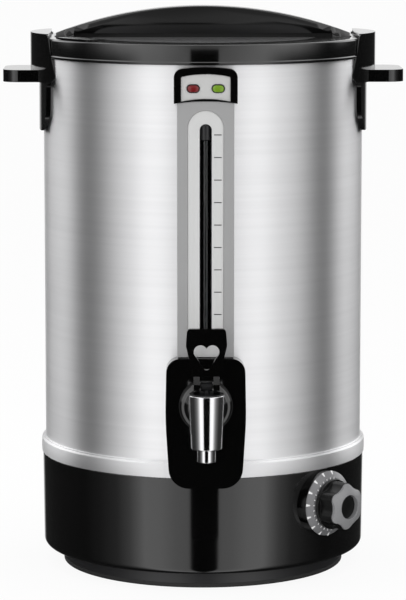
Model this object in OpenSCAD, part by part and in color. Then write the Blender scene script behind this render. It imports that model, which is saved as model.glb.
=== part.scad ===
// Electric hot water urn: a double-walled steel body on a plastic base, with a lift-off lid,
// two side handles, a water gauge, a lever tap and a rotary thermostat.
// Millimetres. +Z is up, the tap faces -Y, and the origin is on the axis at the floor.

/* [Body] */
// Outer diameter of the brushed outer shell
body_d = 260; // [248:1:272]
// Height of the outer shell that shows between the trim band and the top collar
shell_h = 312; // [300:1:340]
// Sheet thickness of the outer shell
shell_t = 0.6; // [0.5:0.1:0.9]
// Gap between the outer shell and the tank
wall_gap = 8.8; // [8.6:0.1:11]
// Sheet thickness of the tank
tank_t = 0.6; // [0.5:0.1:0.9]
// Bottom corner radius of the tank
tank_round = 8; // [6:0.5:12]
// Height of the tank floor above the base housing
floor_rise = 8; // [7:0.5:12]

/* [Base] */
// Height of the foot ring that the base stands on, with its rubber
foot_h = 14; // [12:0.5:20]
// Height of the rubber ring under the foot
rubber_h = 3.5; // [2.5:0.5:5]
// How far the foot ring is set back from the shell
foot_setback = 14.5; // [10:0.5:20]
// Wall of the foot ring
foot_wall = 4; // [3:0.5:5]
// Height of the base housing
base_h = 78; // [70:1:90]
// How far the base housing stands out past the shell at its top
base_proud = 2.4; // [1.5:0.1:4]
// How much the base housing narrows towards its foot
base_draft = 0.8; // [0:0.1:1.5]
// Radius of the bottom edge of the base housing
base_round = 5.5; // [4:0.5:8]
// Wall of the plastic mouldings
wall = 2.5; // [2:0.1:3.5]
// Height of the bright trim band
band_h = 13.2; // [10:0.2:18]
// How far the trim band bulges past the shell
band_proud = 3.6; // [3:0.1:5]

/* [Collar and lid] */
// Height of the black collar round the top
collar_h = 15.7; // [14:0.1:20]
// How far the collar stands out past the shell
collar_proud = 1.4; // [1:0.1:2]
// Depth of the ledge in the collar that the lid rests on
ledge_depth = 6.9; // [6.5:0.1:8]
// How far the lid's top lies below the collar's
lid_drop = 0.5; // [0.3:0.1:1]
// Thickness of the lid cover's disc
lid_t = 3.5; // [3:0.1:4]
// Radius of the bright inlays in the lid
inlay_r = 92; // [80:1:98]
// Height of the lid's bridge handle at its middle, above the lid
bridge_h = 25.2; // [20:0.1:30]
// Radius of the bridge handle's arched top
bridge_arch_r = 335; // [320:5:400]
// Thickness of the bridge handle
bridge_t = 22; // [18:0.5:30]
// Depth of the steel liner under the lid
liner_depth = 7; // [6:0.2:10]
// Angle that the lid turns to lock
lock_angle = 35; // [30:1:40]

/* [Side handles] */
// How far a handle's arm stands out past the shell
arm_proud = 10.5; // [9:0.1:13]
// Half width of the arm where it meets the shell
arm_half_w = 54; // [50:0.5:56]
// How far the grip tab stands out past the shell
tab_proud = 32; // [26:0.5:40]
// Half width of the grip tab
tab_half_w = 33; // [25:0.5:40]
tab_corner = 13;
// Thickness of the grip tab
tab_t = 9.8; // [7:0.2:12]
// Height of the tab's underside below the collar
tab_drop = 19.7; // [16:0.1:24]
// Length of the leg below the tab
leg_h = 39.5; // [25:0.5:60]
// How far the leg stands out past the shell
leg_proud = 3.6; // [3:0.1:6]
// Half width of the leg
leg_half_w = 43; // [30:0.5:48]
// Thickness of the hook plate at the top
hook_t = 1.8; // [1.5:0.1:3]
// Height of the slot between hook and collar
hook_gap = 2.1; // [2:0.1:3]
// How far the hook reaches inwards from the shell
hook_reach = 5.5; // [4:0.1:7]

/* [Indicator and gauge] */
// Width of the indicator bezel
bezel_w = 49.4; // [44:0.1:56]
// Height of the indicator bezel
bezel_h = 28.4; // [26:0.1:34]
// How far the bezel stands out past the shell
bezel_proud = 8.6; // [8:0.1:11]
// Width of a lamp lens
lamp_w = 10.2; // [8:0.1:12]
// Height of a lamp lens
lamp_h = 6.6; // [5:0.1:8]
// Distance between the two lamps
lamp_pitch = 19.4; // [16:0.1:22]
// Width of the gauge cover
gauge_w = 44.3; // [40:0.1:48]
// How far the gauge cover stands out past the shell
gauge_proud = 7.4; // [7.2:0.1:9]
// Width of the scale plate
scale_w = 27.8; // [22:0.1:32]
// Width of the slot in front of the sight tube
slot_w = 9.4; // [8.4:0.1:11]
// Outer diameter of the sight tube
tube_d = 8; // [7:0.1:8.2]
// Wall of the sight tube
tube_wall = 1.2; // [1:0.1:1.6]

/* [Tap] */
// Height of the tap's inlet above the base housing
tap_rise = 60; // [56:0.5:70]
// Distance of the tap's spout from the shell
tap_reach = 44; // [42:0.5:60]
// Outer diameter of the tap barrel at its top
barrel_d = 27.6; // [26:0.1:30]
// Taper of the barrel from top to bottom, in diameter
barrel_taper = 3.4; // [0:0.1:5]
// Height of the barrel
barrel_h = 42.3; // [40:0.1:50]
// Outer diameter of the nozzle
nozzle_d = 14.6; // [13.5:0.1:18]
// Length of the nozzle below the barrel
nozzle_h = 10.3; // [6:0.1:16]
// Bore of the nozzle
outlet_d = 10; // [8:0.1:10.4]
// Outer diameter of the threaded shank
shank_d = 16; // [14:0.1:17]
// Bore of the shank
shank_bore = 11; // [9:0.1:11.4]
// Lift of the valve stem
stem_stroke = 4; // [3:0.1:4.4]
// Swing of the lever from shut to open
lever_swing = 55; // [45:1:60]
// Width of the tap shield
shield_w = 63.3; // [58:0.1:70]
// Height of the tap shield
shield_h = 103.2; // [100:0.1:110]
// How far the shield stands out past the shell
shield_proud = 12; // [11:0.1:14]
// Width of the lever's paddle
paddle_w = 31.8; // [26:0.1:36]
// Height of the paddle above the lever's fork
paddle_h = 39.2; // [34:0.1:46]
// Thickness of the paddle
paddle_t = 4; // [3:0.1:5]

/* [Thermostat and mains inlet] */
// Direction of the knob from the tap, in degrees
knob_angle = 45; // [40:1:50]
// Height of the knob's axis above the foot ring
knob_rise = 51; // [44:0.1:52]
// Diameter of the dial ring
dial_d = 52; // [48:0.5:56]
// Diameter over the knob's lobes
knob_d = 38; // [34:0.5:42]
// Length of the knob
knob_l = 18.6; // [16:0.1:28]
// Diameter of the thermostat's shaft
shaft_d = 6; // [5:0.1:7]
// Width of the mains inlet's cavity
inlet_w = 24; // [23.6:0.1:25]
// Height of the mains inlet's cavity
inlet_h = 16.4; // [16:0.1:17]
// Height of the mains inlet above the foot ring
inlet_rise = 30; // [26:0.5:40]

/* [Hidden] */
$fn = 96;
// Facets of the large curves that small pieces are fitted to
fine = 480;
// Gap between a moving piece and what it rests on
gap = 0.3;
// Radial clearance of a shaft or stem in its bearing
run_gap = 0.05;
// Clearance of a piece that drops into a pocket
seat_gap = 0.1;
// Depth by which a cut runs past a face
cut = 1;

// Levels
shell_z = foot_h + base_h;
band_top = shell_z + band_h;
collar_z = band_top + shell_h;
rim_z = collar_z + collar_h;
ledge_z = rim_z - ledge_depth;
tank_z = shell_z + floor_rise;
lid_z = rim_z - lid_drop;
hook_z = rim_z + hook_gap;

// Radii
shell_r = body_d / 2;
shell_in = shell_r - shell_t;
tank_r = shell_in - wall_gap;
tank_in = tank_r - tank_t;
base_r = shell_r + base_proud;
band_r = shell_r + band_proud;
foot_r = shell_r - foot_setback;
collar_r = shell_r + collar_proud;

// Base details
ledge_w = 8.4;
ledge_t = 4;
flange_in = foot_r - 17.5;
plate_t = 2.5;
stud_d = 5;
stud_circle = foot_r - 13;
stud_angles = [15, 135, 255];
nut_w = 8;
nut_h = 4;
stud_tip = 3;
tongue_w = 1.2;
tongue_h = 3;
vent_count = 7;
vent_w = 4;
vent_l = 60;
vent_pitch = 10;

// Collar details
bead = 0.5;
bead_h = 2;
rim_bevel = 1.2;
throat_r = tank_r + 0.2;
throat_bevel = 0.8;
ledge_in = tank_in - 2.5;
ledge_collar_t = 2;
rim_w = 5.4;
shell_grip = 4.8;

// Lid details
lid_r = throat_r - 1.2;
inlay_t = 0.5;
inlay_drop = 0.6;
bridge_r = lid_r;
bridge_chamfer = 1.7;
bevel_arch_r = bridge_arch_r - 54;
foot_groove = 1.2;
foot_groove_h = 3.2;
bridge_shell = 3;
bridge_cavity_l = 100;
bridge_groove_l = 105;
liner_r = ledge_in - 4;
liner_t = 0.5;
liner_taper = 4;
lid_screw_circle = 70;
lid_boss_r = 5;
lid_screw_d = 4;
lug_arc = 20;
lug_r = shell_r - 1;
lug_root = 8;
gasket_t = lid_z - lid_t - ledge_z - gap;
gasket_in = liner_r + gap;
gasket_out = lid_r - 0.6;

// Side handle details
arm_chord = shell_r + arm_proud - sqrt(pow(shell_r, 2) - pow(arm_half_w, 2));
arm_r = (pow(arm_half_w, 2) + pow(arm_chord, 2)) / (2 * arm_chord);
arm_x = shell_r + arm_proud - arm_r;
tab_z = collar_z - tab_drop;
handle_top = hook_z + hook_t;
leg_tip_z = tab_z - leg_h;
hook_x = shell_r - hook_reach;
handle_screw_y = 22;
handle_screw_d = 4;
handle_screw_l = 7;
handle_screw_z = tab_z + 8;
head_d = 7;
head_t = 2.2;

// Gauge and indicator details
gauge_y = shell_r + gauge_proud;
gauge_wall = 2;
plate_front = gauge_y - 0.8;
plate_back = gauge_y - gauge_wall - 1.2;
plate_flange = 2;
tube_y = shell_r - 1.2;
tube_r = tube_d / 2;
socket_wall = 1.2;
socket_r = tube_r + socket_wall;
elbow_r = socket_r;
spigot_r = 3.5;
spigot_bore = 2.5;
elbow_flange_r = 6;
elbow_flange_t = 2;
socket_low_h = 14;
socket_top_h = 19.6;
bezel_z = collar_z - 0.9 - bezel_h;
bezel_y = shell_r + bezel_proud;
bezel_arch = 2.1;
window_w = bezel_w - 11.2;
window_h = bezel_h - 7.2;
window_z = bezel_z + 1.6;
lamp_z = bezel_z + 11.7;
lamp_front = bezel_y - 0.6;
lamp_l = 12;
indicator_front = bezel_y - 1.4;
indicator_t = 1.5;
gauge_foot_z = shell_z - 6.1 + shield_h + 0.4;
gauge_top_z = bezel_z - 0.3;
elbow_low_h = 85;
elbow_low_z = shell_z + elbow_low_h;
elbow_top_z = bezel_z - 3.7;
socket_low_z = elbow_low_z + elbow_r;
socket_top_z = elbow_top_z - elbow_r;
slot_top_z = bezel_z - 15.9;
scale_top_z = bezel_z - 5.5;
tube_base = socket_low_z;
tube_top = socket_top_z;

// Tap details
tap_z = shell_z + tap_rise;
tap_y = shell_r + tap_reach;
barrel_top = tap_z + 14.2;
barrel_r = barrel_d / 2;
barrel_foot_r = (barrel_d - barrel_taper) / 2;
nozzle_r = nozzle_d / 2;
outlet_r = outlet_d / 2;
chamber_r = barrel_r - 4.5;
chamber_z = tap_z - 10.3;
seat_h = 0.3;
seat_w = 1.2;
shank_r = shank_d / 2;
shank_tip = tank_in - 14;
neck_r = shank_r + 2.5;
rosette_r = 21;
rosette_t = 10;
shield_y = shell_r + shield_proud;
shield_z = shell_z - 6.1;
shield_wall = 3;
boss_r = shank_r + 4;
rosette_y = shield_y + rosette_t;
spacer_wall = 3;
washer_r = shank_r + 5;
washer_t = 2.5;
tap_nut_w = 24;
tap_nut_t = 7;
bonnet_flange_t = 1;
bonnet_r = barrel_r - 0.4;
bonnet_depth = 9.2;
bonnet_top = barrel_top + bonnet_flange_t;
spring_pocket_r = 6.6;
spring_pocket_h = 4.5;
stem_r = 2.5;
cam_height = 5;
pin_z = bonnet_top + gap + cam_height;
pin_r = 1.5;
eye_r = 3.6;
eye_half_w = 4.6;
cheek_in = 5.3;
cheek_out = 10;
cup_r = 7.6;
cup_h = 6.5;
cup_z = chamber_z + seat_h + gap;
foot_disc_r = 5;
foot_disc_t = 1.5;
foot_disc_z = cup_z + 2;
cam_rate = stem_stroke / (lever_swing * PI / 180);
lever_neck_z = 6;
neck_half_w = 9.95;
paddle_base = pin_z + 7.5;
heart_lobe_r = 5.3;
heart_lobe_x = 4.6;
heart_z = paddle_base + 19.8;
heart_depth = 14.6;

// Spring of the tap
spring_turns = 5;
spring_rings = 8;
spring_sides = 6;
spring_wire_r = 0.55;
spring_r = 5.6;
spring_foot = cup_z + cup_h + spring_wire_r + seat_gap;
spring_head = bonnet_top - bonnet_flange_t - bonnet_depth + spring_pocket_h - spring_wire_r - seat_gap;

// Heating details
spreader_r = 90;
spreader_t = 3;
spreader_z = tank_z - tank_t - spreader_t;
element_circle = 70;
element_tube_r = 4;
element_span = 310;
element_drop = 14;
terminal_r = 1.5;
terminal_l = 8;
cutout_r = 8;
cutout_h = 6;
cutout_x = 22;

// Thermostat and knob details, measured out from the axis along the knob's direction
knob_z = foot_h + knob_rise;
wall_in = base_r - wall - base_draft;
stat_front = wall_in - 1.8;
stat_depth = 24;
stat_half_w = 16;
stat_half_h = 19;
stat_shoulder_r = 8;
bush_r = 5;
bush_out = 2.7;
bush_nut_w = 14;
bush_nut_t = 3;
shaft_r = shaft_d / 2;
dial_y = base_r + 10.8;
dial_slope_h = 3.3;
dial_land_h = 0.3;
dial_slope_w = 5.1;
dial_land_w = 1.9;
dial_rim_t = 0.8;
dial_edge_y = dial_y - dial_land_h - dial_slope_h;
dial_bore = 9.5;
knob_y = dial_y + 1;
knob_r = knob_d / 2;
skirt_proud = 1;
skirt_t = 2;
lobe_count = 6;
lobe_turn = 0;
lobe_r = knob_r * 0.316;
scallop_r = knob_r * 0.763;
scallop_at = knob_r * 1.61;
cap_t = 4.6;
cap_rim_t = 0.8;
cap_hole_r = 9.7;
cap_lip_w = 0.7;
cap_dome_r = 38.3;
cap_setback = 0.5;
bulb_r = 3;
bulb_l = 68;
bulb_circle = (tank_r + shell_in) / 2 - 1;
bulb_z = tank_z + 12;
capillary_r = 0.8;
capillary_circle = bulb_circle - 1.4;

// Mains inlet details, measured out from the axis towards the back
inlet_z = foot_h + inlet_rise;
pad_w = 54;
pad_h = 27;
pad_y = base_r + 0.8;
inlet_flange_w = 50;
inlet_flange_h = 24;
inlet_flange_t = 2;
inlet_wall = 1.8;
inlet_depth = 18;
inlet_screw_x = 20;
inlet_screw_d = 3.4;
pin_w = 2;
pin_h = 4;
pin_pitch = 14;
pin_offset = 2;
pin_len = 15;
pin_tail = 9;
block_w = 30;
block_d = 12;
block_h = 14;
block_y = shell_r - 64;
block_hole_h = 6;

// Wire details
wire_r = 0.8;
wire_steps = 14;
wire_sides = 6;
lead_circle = tank_r + 1.6;
lead_dir = knob_angle - 6;
lead_pitch = 1.4;

// ---------- helpers ----------

// Moves children to a direction round the body: local Z points outwards, Y up
module outward(direction, height) {
    rotate([0, 0, direction]) translate([0, 0, height]) rotate([90, 0, 0]) children();
}

// Extrudes a Y-Z outline along X, centred
module along_x(length) {
    rotate([90, 0, 90]) translate([0, 0, -length / 2]) linear_extrude(length) children();
}

// Ring between two radii
module ring(outer, inner, height) {
    difference() {
        cylinder(r = outer, h = height);
        translate([0, 0, -cut]) cylinder(r = inner, h = height + 2 * cut);
    }
}

// Hexagonal nut by its width across the flats
module hex_nut(flats, bore_r, height) {
    difference() {
        cylinder(d = flats / cos(30), h = height, $fn = 6);
        translate([0, 0, -cut]) cylinder(r = bore_r, h = height + 2 * cut);
    }
}

function unit(v) = v / norm(v);
function arc(centre, r, from, to, steps = 8) =
    [for (i = [0 : steps]) centre + r * [cos(from + (to - from) * i / steps),
        sin(from + (to - from) * i / steps)]];
function wrap(a) = a > 180 ? a - 360 : a < -180 ? a + 360 : a;

// Points of the fillet at corner q between its neighbours p and s
function corner(p, q, s, r) =
    let (u = unit(p - q), v = unit(s - q))
    let (half = acos(max(-1, min(1, u * v))) / 2)
    let (centre = q + unit(u + v) * r / sin(half))
    let (first = q + u * r / tan(half) - centre, last = q + v * r / tan(half) - centre)
    let (start = atan2(first.y, first.x), sweep = wrap(atan2(last.y, last.x) - start))
    arc(centre, r, start, start + sweep);

// Outline with rounded corners, from a list of [x, y, corner radius]
function rounded(points) =
    let (count = len(points))
    [for (i = [0 : count - 1])
        let (p = points[(i + count - 1) % count], q = points[i], s = points[(i + 1) % count])
        let (here = [q.x, q.y])
        each q.z > 0 ? corner([p.x, p.y], here, [s.x, s.y], q.z) : [here]];

function mirrored(half)
    = concat(half, [for (i = [len(half) - 1 : -1 : 0]) [-half[i].x, half[i].y, half[i].z]]);

// ---------- body ----------

module outer_shell() {
    color("silver") difference() {
        translate([0, 0, shell_z]) ring(shell_r, shell_in, band_h + shell_h + shell_grip);
        outward(0, tap_z) cylinder(r = shank_r + 0.3, h = band_r);
        // slot behind the gauge for the sight tube and its elbows
        translate([-elbow_r - 0.5, -shell_r - cut, elbow_low_z - elbow_r - 1])
            cube([2 * elbow_r + 1, wall_gap + cut, elbow_top_z - elbow_low_z + 2 * elbow_r + 2]);
        // window behind the lamps
        translate([-lamp_pitch / 2 - lamp_w / 2, -shell_r - cut, lamp_z - lamp_h / 2 - 0.5])
            cube([lamp_pitch + lamp_w, wall_gap + cut, lamp_h + 1]);
        for (side = [-1, 1]) handle_screw_places(side)
            cylinder(d = handle_screw_d + 0.4, h = 3 * wall_gap, center = true);
    }
}

module inner_tank() {
    inside = tank_round - tank_t;
    corner_r = tank_r - tank_round;
    corner_z = tank_z - tank_t + tank_round;
    outline = concat(
        [[0, tank_z - tank_t]],
        arc([corner_r, corner_z], tank_round, -90, 0, 12),
        [[tank_r, ledge_z - ledge_collar_t - tank_t], [tank_r + rim_w, ledge_z - ledge_collar_t - tank_t]],
        [[tank_r + rim_w, ledge_z - ledge_collar_t], [tank_in, ledge_z - ledge_collar_t]],
        arc([corner_r, corner_z], inside, 0, -90, 12),
        [[0, tank_z]]);
    color("lightgray") difference() {
        rotate_extrude() polygon(outline);
        outward(0, tap_z) cylinder(r = shank_r + 0.3, h = shell_r);
        for (z = [elbow_low_z, elbow_top_z]) outward(0, z) cylinder(r = spigot_r + seat_gap, h = shell_r);
    }
}

module tank_studs() {
    color("gray") for (a = stud_angles) rotate([0, 0, a])
        translate([stud_circle, 0, foot_h - plate_t - nut_h - stud_tip])
        cylinder(d = stud_d, h = tank_z - tank_t - foot_h + plate_t + nut_h + stud_tip);
}

module stud_nuts() {
    color("gray") for (a = stud_angles) rotate([0, 0, a])
        translate([stud_circle, 0, foot_h - plate_t - nut_h])
        hex_nut(nut_w, stud_d / 2, nut_h);
}

module stud_holes(height) {
    for (a = stud_angles) rotate([0, 0, a]) translate([stud_circle, 0, 0])
        cylinder(d = stud_d + 0.6, h = height);
}

module trim_band() {
    bulge = [[shell_r + run_gap, 0], [shell_r + 2.4, 0], [band_r - 0.3, 2.2], [band_r, band_h / 2],
             [band_r - 0.5, band_h - 2.6], [shell_r + 1.4, band_h - 0.6], [shell_r + 1, band_h],
             [shell_r + run_gap, band_h]];
    color("gainsboro") translate([0, 0, shell_z]) rotate_extrude() polygon(bulge);
}

module base_housing() {
    low_r = base_r - base_draft;
    middle = [low_r - base_round, foot_h + base_round];
    outline = concat(
        [[flange_in, foot_h]],
        arc(middle, base_round, -90, 0),
        [[base_r, shell_z], [shell_in - ledge_w + base_proud + shell_t, shell_z]],
        [[shell_in - ledge_w + base_proud + shell_t, shell_z - ledge_t], [base_r - wall, shell_z - ledge_t]],
        arc(middle, base_round - wall, 0, -90),
        [[flange_in, foot_h + wall]]);
    color("black") difference() {
        union() {
            rotate_extrude() polygon(outline);
            // flat pad that the mains inlet is screwed to
            intersection() {
                outward(180, inlet_z) translate([-pad_w / 2, -pad_h / 2, wall_in - 4])
                    cube([pad_w, pad_h, pad_y - wall_in + 4]);
                difference() {
                    cylinder(r = base_r + wall, h = shell_z);
                    translate([0, 0, -cut]) cylinder(r = wall_in, h = shell_z + 2 * cut);
                }
            }
        }
        translate([0, 0, foot_h - cut]) stud_holes(wall + 2 * cut);
        outward(knob_angle, knob_z) cylinder(r = bush_r + seat_gap, h = base_r + cut);
        outward(180, inlet_z) {
            translate([-inlet_w / 2 - inlet_wall - seat_gap, -inlet_h / 2 - inlet_wall - seat_gap, 0])
                cube([inlet_w + 2 * (inlet_wall + seat_gap), inlet_h + 2 * (inlet_wall + seat_gap),
                    base_r + wall]);
            for (side = [-1, 1]) translate([side * inlet_screw_x, 0, 0])
                cylinder(d = inlet_screw_d, h = base_r + wall);
        }
    }
}

module bottom_plate() {
    color("dimgray") difference() {
        union() {
            translate([0, 0, foot_h - plate_t]) cylinder(r = foot_r, h = plate_t);
            translate([0, 0, rubber_h]) ring(foot_r, foot_r - foot_wall, foot_h - plate_t - rubber_h);
        }
        translate([0, 0, rubber_h - cut])
            ring(foot_r - foot_wall / 2 + tongue_w, foot_r - foot_wall / 2 - tongue_w,
                tongue_h + cut + seat_gap);
        translate([0, 0, foot_h - plate_t - cut]) stud_holes(plate_t + 2 * cut);
        for (i = [0 : vent_count - 1]) translate([(i - (vent_count - 1) / 2) * vent_pitch - vent_w / 2,
            -vent_l / 2 - 20, foot_h - plate_t - cut]) cube([vent_w, vent_l, plate_t + 2 * cut]);
    }
}

module foot_ring() {
    color("black") {
        union() {
            ring(foot_r, foot_r - foot_wall, rubber_h);
            translate([0, 0, rubber_h - cut / 2])
                ring(foot_r - foot_wall / 2 + tongue_w, foot_r - foot_wall / 2 - tongue_w,
                    tongue_h + cut / 2);
        }
    }
}

// ---------- collar and lid ----------

module top_collar() {
    under = ledge_z - ledge_collar_t;
    grip_z = collar_z + shell_grip + seat_gap;
    skirt = tank_r + rim_w + 0.5;
    color("black") rotate_extrude() polygon([
        [ledge_in, under], [ledge_in, ledge_z], [throat_r, ledge_z], [throat_r, rim_z - throat_bevel],
        [throat_r + throat_bevel, rim_z], [collar_r - rim_bevel, rim_z], [collar_r, rim_z - rim_bevel],
        [collar_r, collar_z + bead_h + bead], [collar_r + bead, collar_z + bead_h],
            [collar_r + bead, collar_z],
        [shell_r + run_gap, collar_z], [shell_r + run_gap, grip_z], [shell_in - run_gap, grip_z],
        [shell_in - run_gap, collar_z], [skirt, collar_z], [skirt, under]]);
}

// Plan of one half moon in front of the bridge handle
module half_moon(r) {
    difference() {
        circle(r = r);
        translate([-r, -bridge_t / 2 - cut]) square([2 * r, 2 * r + bridge_t]);
    }
}

// Disc standing on edge under an arched top, with its rim profile given as [radius, y]
module arched_disc(top, r, profile) {
    translate([0, 0, top - r]) rotate([90, 0, 0]) rotate_extrude($fn = fine) polygon(profile);
}

// Arched bar, lower and narrower by the inset
module bridge_bar(inset) {
    half = bridge_t / 2 - inset;
    r = bridge_arch_r - inset;
    intersection() {
        arched_disc(lid_z + bridge_h - inset, r, [[0, -half], [r, -half], [r, half], [0, half]]);
        translate([0, 0, lid_z - lid_t]) cylinder(r = bridge_r - inset, h = bridge_h + lid_t);
    }
}

module lid_screw_places() {
    for (a = [45 : 90 : 315]) rotate([0, 0, a]) translate([lid_screw_circle, 0, 0]) children();
}

module lid_lugs() {
    for (a = [lock_angle, lock_angle + 180]) rotate([0, 0, a - lug_arc / 2])
        translate([0, 0, lid_z - 0.4]) rotate_extrude(angle = lug_arc)
            polygon([[lid_r - lug_root, 0], [lid_r, 0], [lid_r, rim_z + gap - lid_z + 0.4],
                     [lug_r, rim_z + gap - lid_z + 0.4], [lug_r, hook_z - gap - lid_z + 0.4],
                     [lid_r - lug_root, hook_z - gap - lid_z + 0.4]]);
}

module lid_cover() {
    under = lid_z - lid_t;
    color("black") difference() {
        union() {
            translate([0, 0, under]) cylinder(r = lid_r, h = lid_t);
            intersection() {
                bridge_bar(0);
                // bevel along the top that widens towards the ends
                arched_disc(lid_z + bridge_h - bridge_chamfer, bevel_arch_r,
                    [[0, -bridge_t / 2], [bevel_arch_r, -bridge_t / 2],
                    [bevel_arch_r + bridge_t / 2, 0], [bevel_arch_r, bridge_t / 2], [0, bridge_t / 2]]);
            }
            lid_lugs();
            lid_screw_places() translate([0, 0, lid_z - lid_t - liner_depth + liner_t])
                cylinder(r = lid_boss_r, h = liner_depth - liner_t + lid_t / 2);
        }
        for (turn = [0, 180]) rotate([0, 0, turn]) translate([0, 0, lid_z - inlay_t - inlay_drop])
            linear_extrude(lid_t) difference() {
                half_moon(inlay_r);
                translate([-inlay_r, -bridge_t / 2]) square([2 * inlay_r, bridge_t]);
            }
        // shadow groove along the foot of the bridge handle
        for (side = [-1, 1]) translate([-bridge_groove_l, side * bridge_t / 2 - foot_groove, lid_z])
            cube([2 * bridge_groove_l, 2 * foot_groove, foot_groove_h]);
        // the bridge handle is hollow from below
        intersection() {
            bridge_bar(bridge_shell + foot_groove);
            translate([-bridge_cavity_l, -bridge_t, under])
                cube([2 * bridge_cavity_l, 2 * bridge_t, bridge_h + lid_t]);
        }
        translate([-bridge_cavity_l, -bridge_t / 2 + bridge_shell + foot_groove, under - cut])
            cube([2 * bridge_cavity_l, bridge_t - 2 * (bridge_shell + foot_groove), lid_t]);
        lid_screw_places() translate([0, 0, lid_z - lid_t - liner_depth])
            cylinder(d = lid_screw_d, h = liner_depth);
    }
}

module lid_inlays() {
    color("silver") for (turn = [0, 180]) rotate([0, 0, turn]) translate([0, 0, lid_z - inlay_t - inlay_drop])
        linear_extrude(inlay_t) difference() {
            circle(r = inlay_r - seat_gap);
            translate([-inlay_r, -bridge_t / 2 - cut - seat_gap])
                square([2 * inlay_r, 2 * inlay_r + bridge_t]);
        }
}

module lid_liner() {
    low = lid_z - lid_t - liner_depth;
    color("lightgray") difference() {
        translate([0, 0, low]) rotate_extrude() polygon([
            [0, 0], [liner_r - liner_taper, 0], [liner_r, liner_depth], [liner_r - liner_t, liner_depth],
            [liner_r - liner_taper - liner_t, liner_t], [0, liner_t]]);
        lid_screw_places() translate([0, 0, low - cut])
            cylinder(d = lid_screw_d + 0.4, h = 2 * cut + liner_t);
    }
}

module lid_screws() {
    low = lid_z - lid_t - liner_depth;
    color("gray") lid_screw_places() {
        translate([0, 0, low]) cylinder(d = lid_screw_d, h = liner_depth - 1);
        translate([0, 0, low - head_t]) cylinder(d = head_d + 1, h = head_t);
    }
}

module lid_gasket() {
    color("dimgray") translate([0, 0, ledge_z + gap]) rotate_extrude() polygon([
        [gasket_in, gasket_t - gap], [gasket_in, 0.8], [ledge_in + 0.3, 0], [gasket_out, 0],
            [gasket_out, 0.8],
        [gasket_out - 0.8, gasket_t - gap]]);
}

// ---------- side handles ----------

module handle_screw_places(side) {
    for (y = [-1, 1]) translate([side * shell_r, y * handle_screw_y, handle_screw_z])
        rotate([0, side * 90, 0]) children();
}

// Outline of a handle seen from its side: hook and arm above, leg below
module handle_face() {
    polygon(rounded(mirrored([
        [arm_half_w - 8, handle_top, 4], [arm_half_w - 4, collar_z, 40], [arm_half_w, tab_z + 4, 5],
        [leg_half_w, tab_z - 3, 3], [leg_half_w - 1, leg_tip_z + 14, 14], [leg_half_w - 14, leg_tip_z, 8]])));
}

module handle_right() {
    hug = 0.1;
    color("black") difference() {
        intersection() {
            translate([shell_r, 0, 0]) along_x(2 * tab_proud + 4 * leg_proud) handle_face();
            translate([arm_x, 0, 0]) union() {
                // arm with the hook plate
                translate([0, 0, tab_z]) cylinder(r = arm_r, h = handle_top - tab_z);
                // grip tab with rounded corners
                translate([0, 0, tab_z]) linear_extrude(tab_t) polygon(rounded([
                    [0, -tab_half_w, 0], [shell_r + tab_proud - arm_x, -tab_half_w, tab_corner],
                    [shell_r + tab_proud - arm_x, tab_half_w, tab_corner], [0, tab_half_w, 0]]));
                translate([-arm_x, 0, leg_tip_z]) cylinder(r = shell_r + leg_proud, h = leg_h);
            }
        }
        translate([0, 0, leg_tip_z - cut]) cylinder(r = shell_r + hug / 2, h = collar_z - leg_tip_z + cut);
        translate([0, 0, collar_z - seat_gap])
            cylinder(r = collar_r + bead + hug, h = hook_z - collar_z + seat_gap);
        translate([hook_x - 3 * shell_r, -shell_r, hook_z - cut])
            cube([3 * shell_r, 2 * shell_r, hook_t + 2 * cut]);
        handle_screw_places(1) translate([0, 0, -wall_gap / 2])
            cylinder(d = handle_screw_d, h = handle_screw_l + 1 + wall_gap / 2);
    }
}

module handle_left() {
    rotate([0, 0, 180]) handle_right();
}

module handle_screws() {
    color("gray") for (side = [-1, 1]) handle_screw_places(side) {
        translate([0, 0, -5]) cylinder(d = handle_screw_d, h = handle_screw_l + 5);
        translate([0, 0, -5 - head_t]) cylinder(d = head_d, h = head_t);
    }
}

// ---------- indicator lamps ----------

function arch(width, foot, rise, reach, sense) =
    [for (i = [-4 : 4]) let (t = sense * reach * i / 4) [t * width / 2, foot + rise * (1 - t * t), 0]];

// Window shape with an arched top and bottom edge, its upper corners rounded
module arched(width, height, rise, radius) {
    half = width / 2;
    polygon(rounded(concat(
        [[-half, 0, 0]], arch(width, 0, rise, 0.85, 1), [[half, 0, 0], [half, height - rise, radius]],
        arch(width, height - rise, rise, 0.65, -1), [[-half, height - rise, radius]])));
}

// Puts a flat front-view outline on the front of the body, between two distances from the axis
module front_slab(near, far) {
    rotate([90, 0, 0]) translate([0, 0, near]) linear_extrude(far - near) children();
}

module lamp_outline(grow) {
    intersection() {
        square([lamp_w + 2 * grow, lamp_h + 2 * grow], center = true);
        union() {
            square([lamp_w - lamp_h, lamp_h + 2 * grow], center = true);
            for (side = [-1, 1]) translate([side * (lamp_w - lamp_h) / 2, 0]) circle(r = lamp_h / 2 + grow);
        }
    }
}

module indicator_bezel() {
    color("black") difference() {
        front_slab(shell_r - 12, bezel_y) translate([0, bezel_z]) arched(bezel_w, bezel_h, bezel_arch, 7);
        cylinder(r = shell_r + run_gap, h = rim_z);
        front_slab(shell_r - cut, bezel_y + cut) translate([0, window_z - seat_gap])
            arched(window_w + 2 * seat_gap, window_h + 2 * seat_gap, bezel_arch, 1.5);
    }
}

module indicator_plate() {
    color("whitesmoke") difference() {
        front_slab(indicator_front - indicator_t, indicator_front) translate([0, window_z])
            arched(window_w, window_h, bezel_arch, 1.5);
        for (side = [-1, 1]) front_slab(shell_r, bezel_y) translate([side * lamp_pitch / 2, lamp_z])
            lamp_outline(0.1);
    }
}

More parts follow.
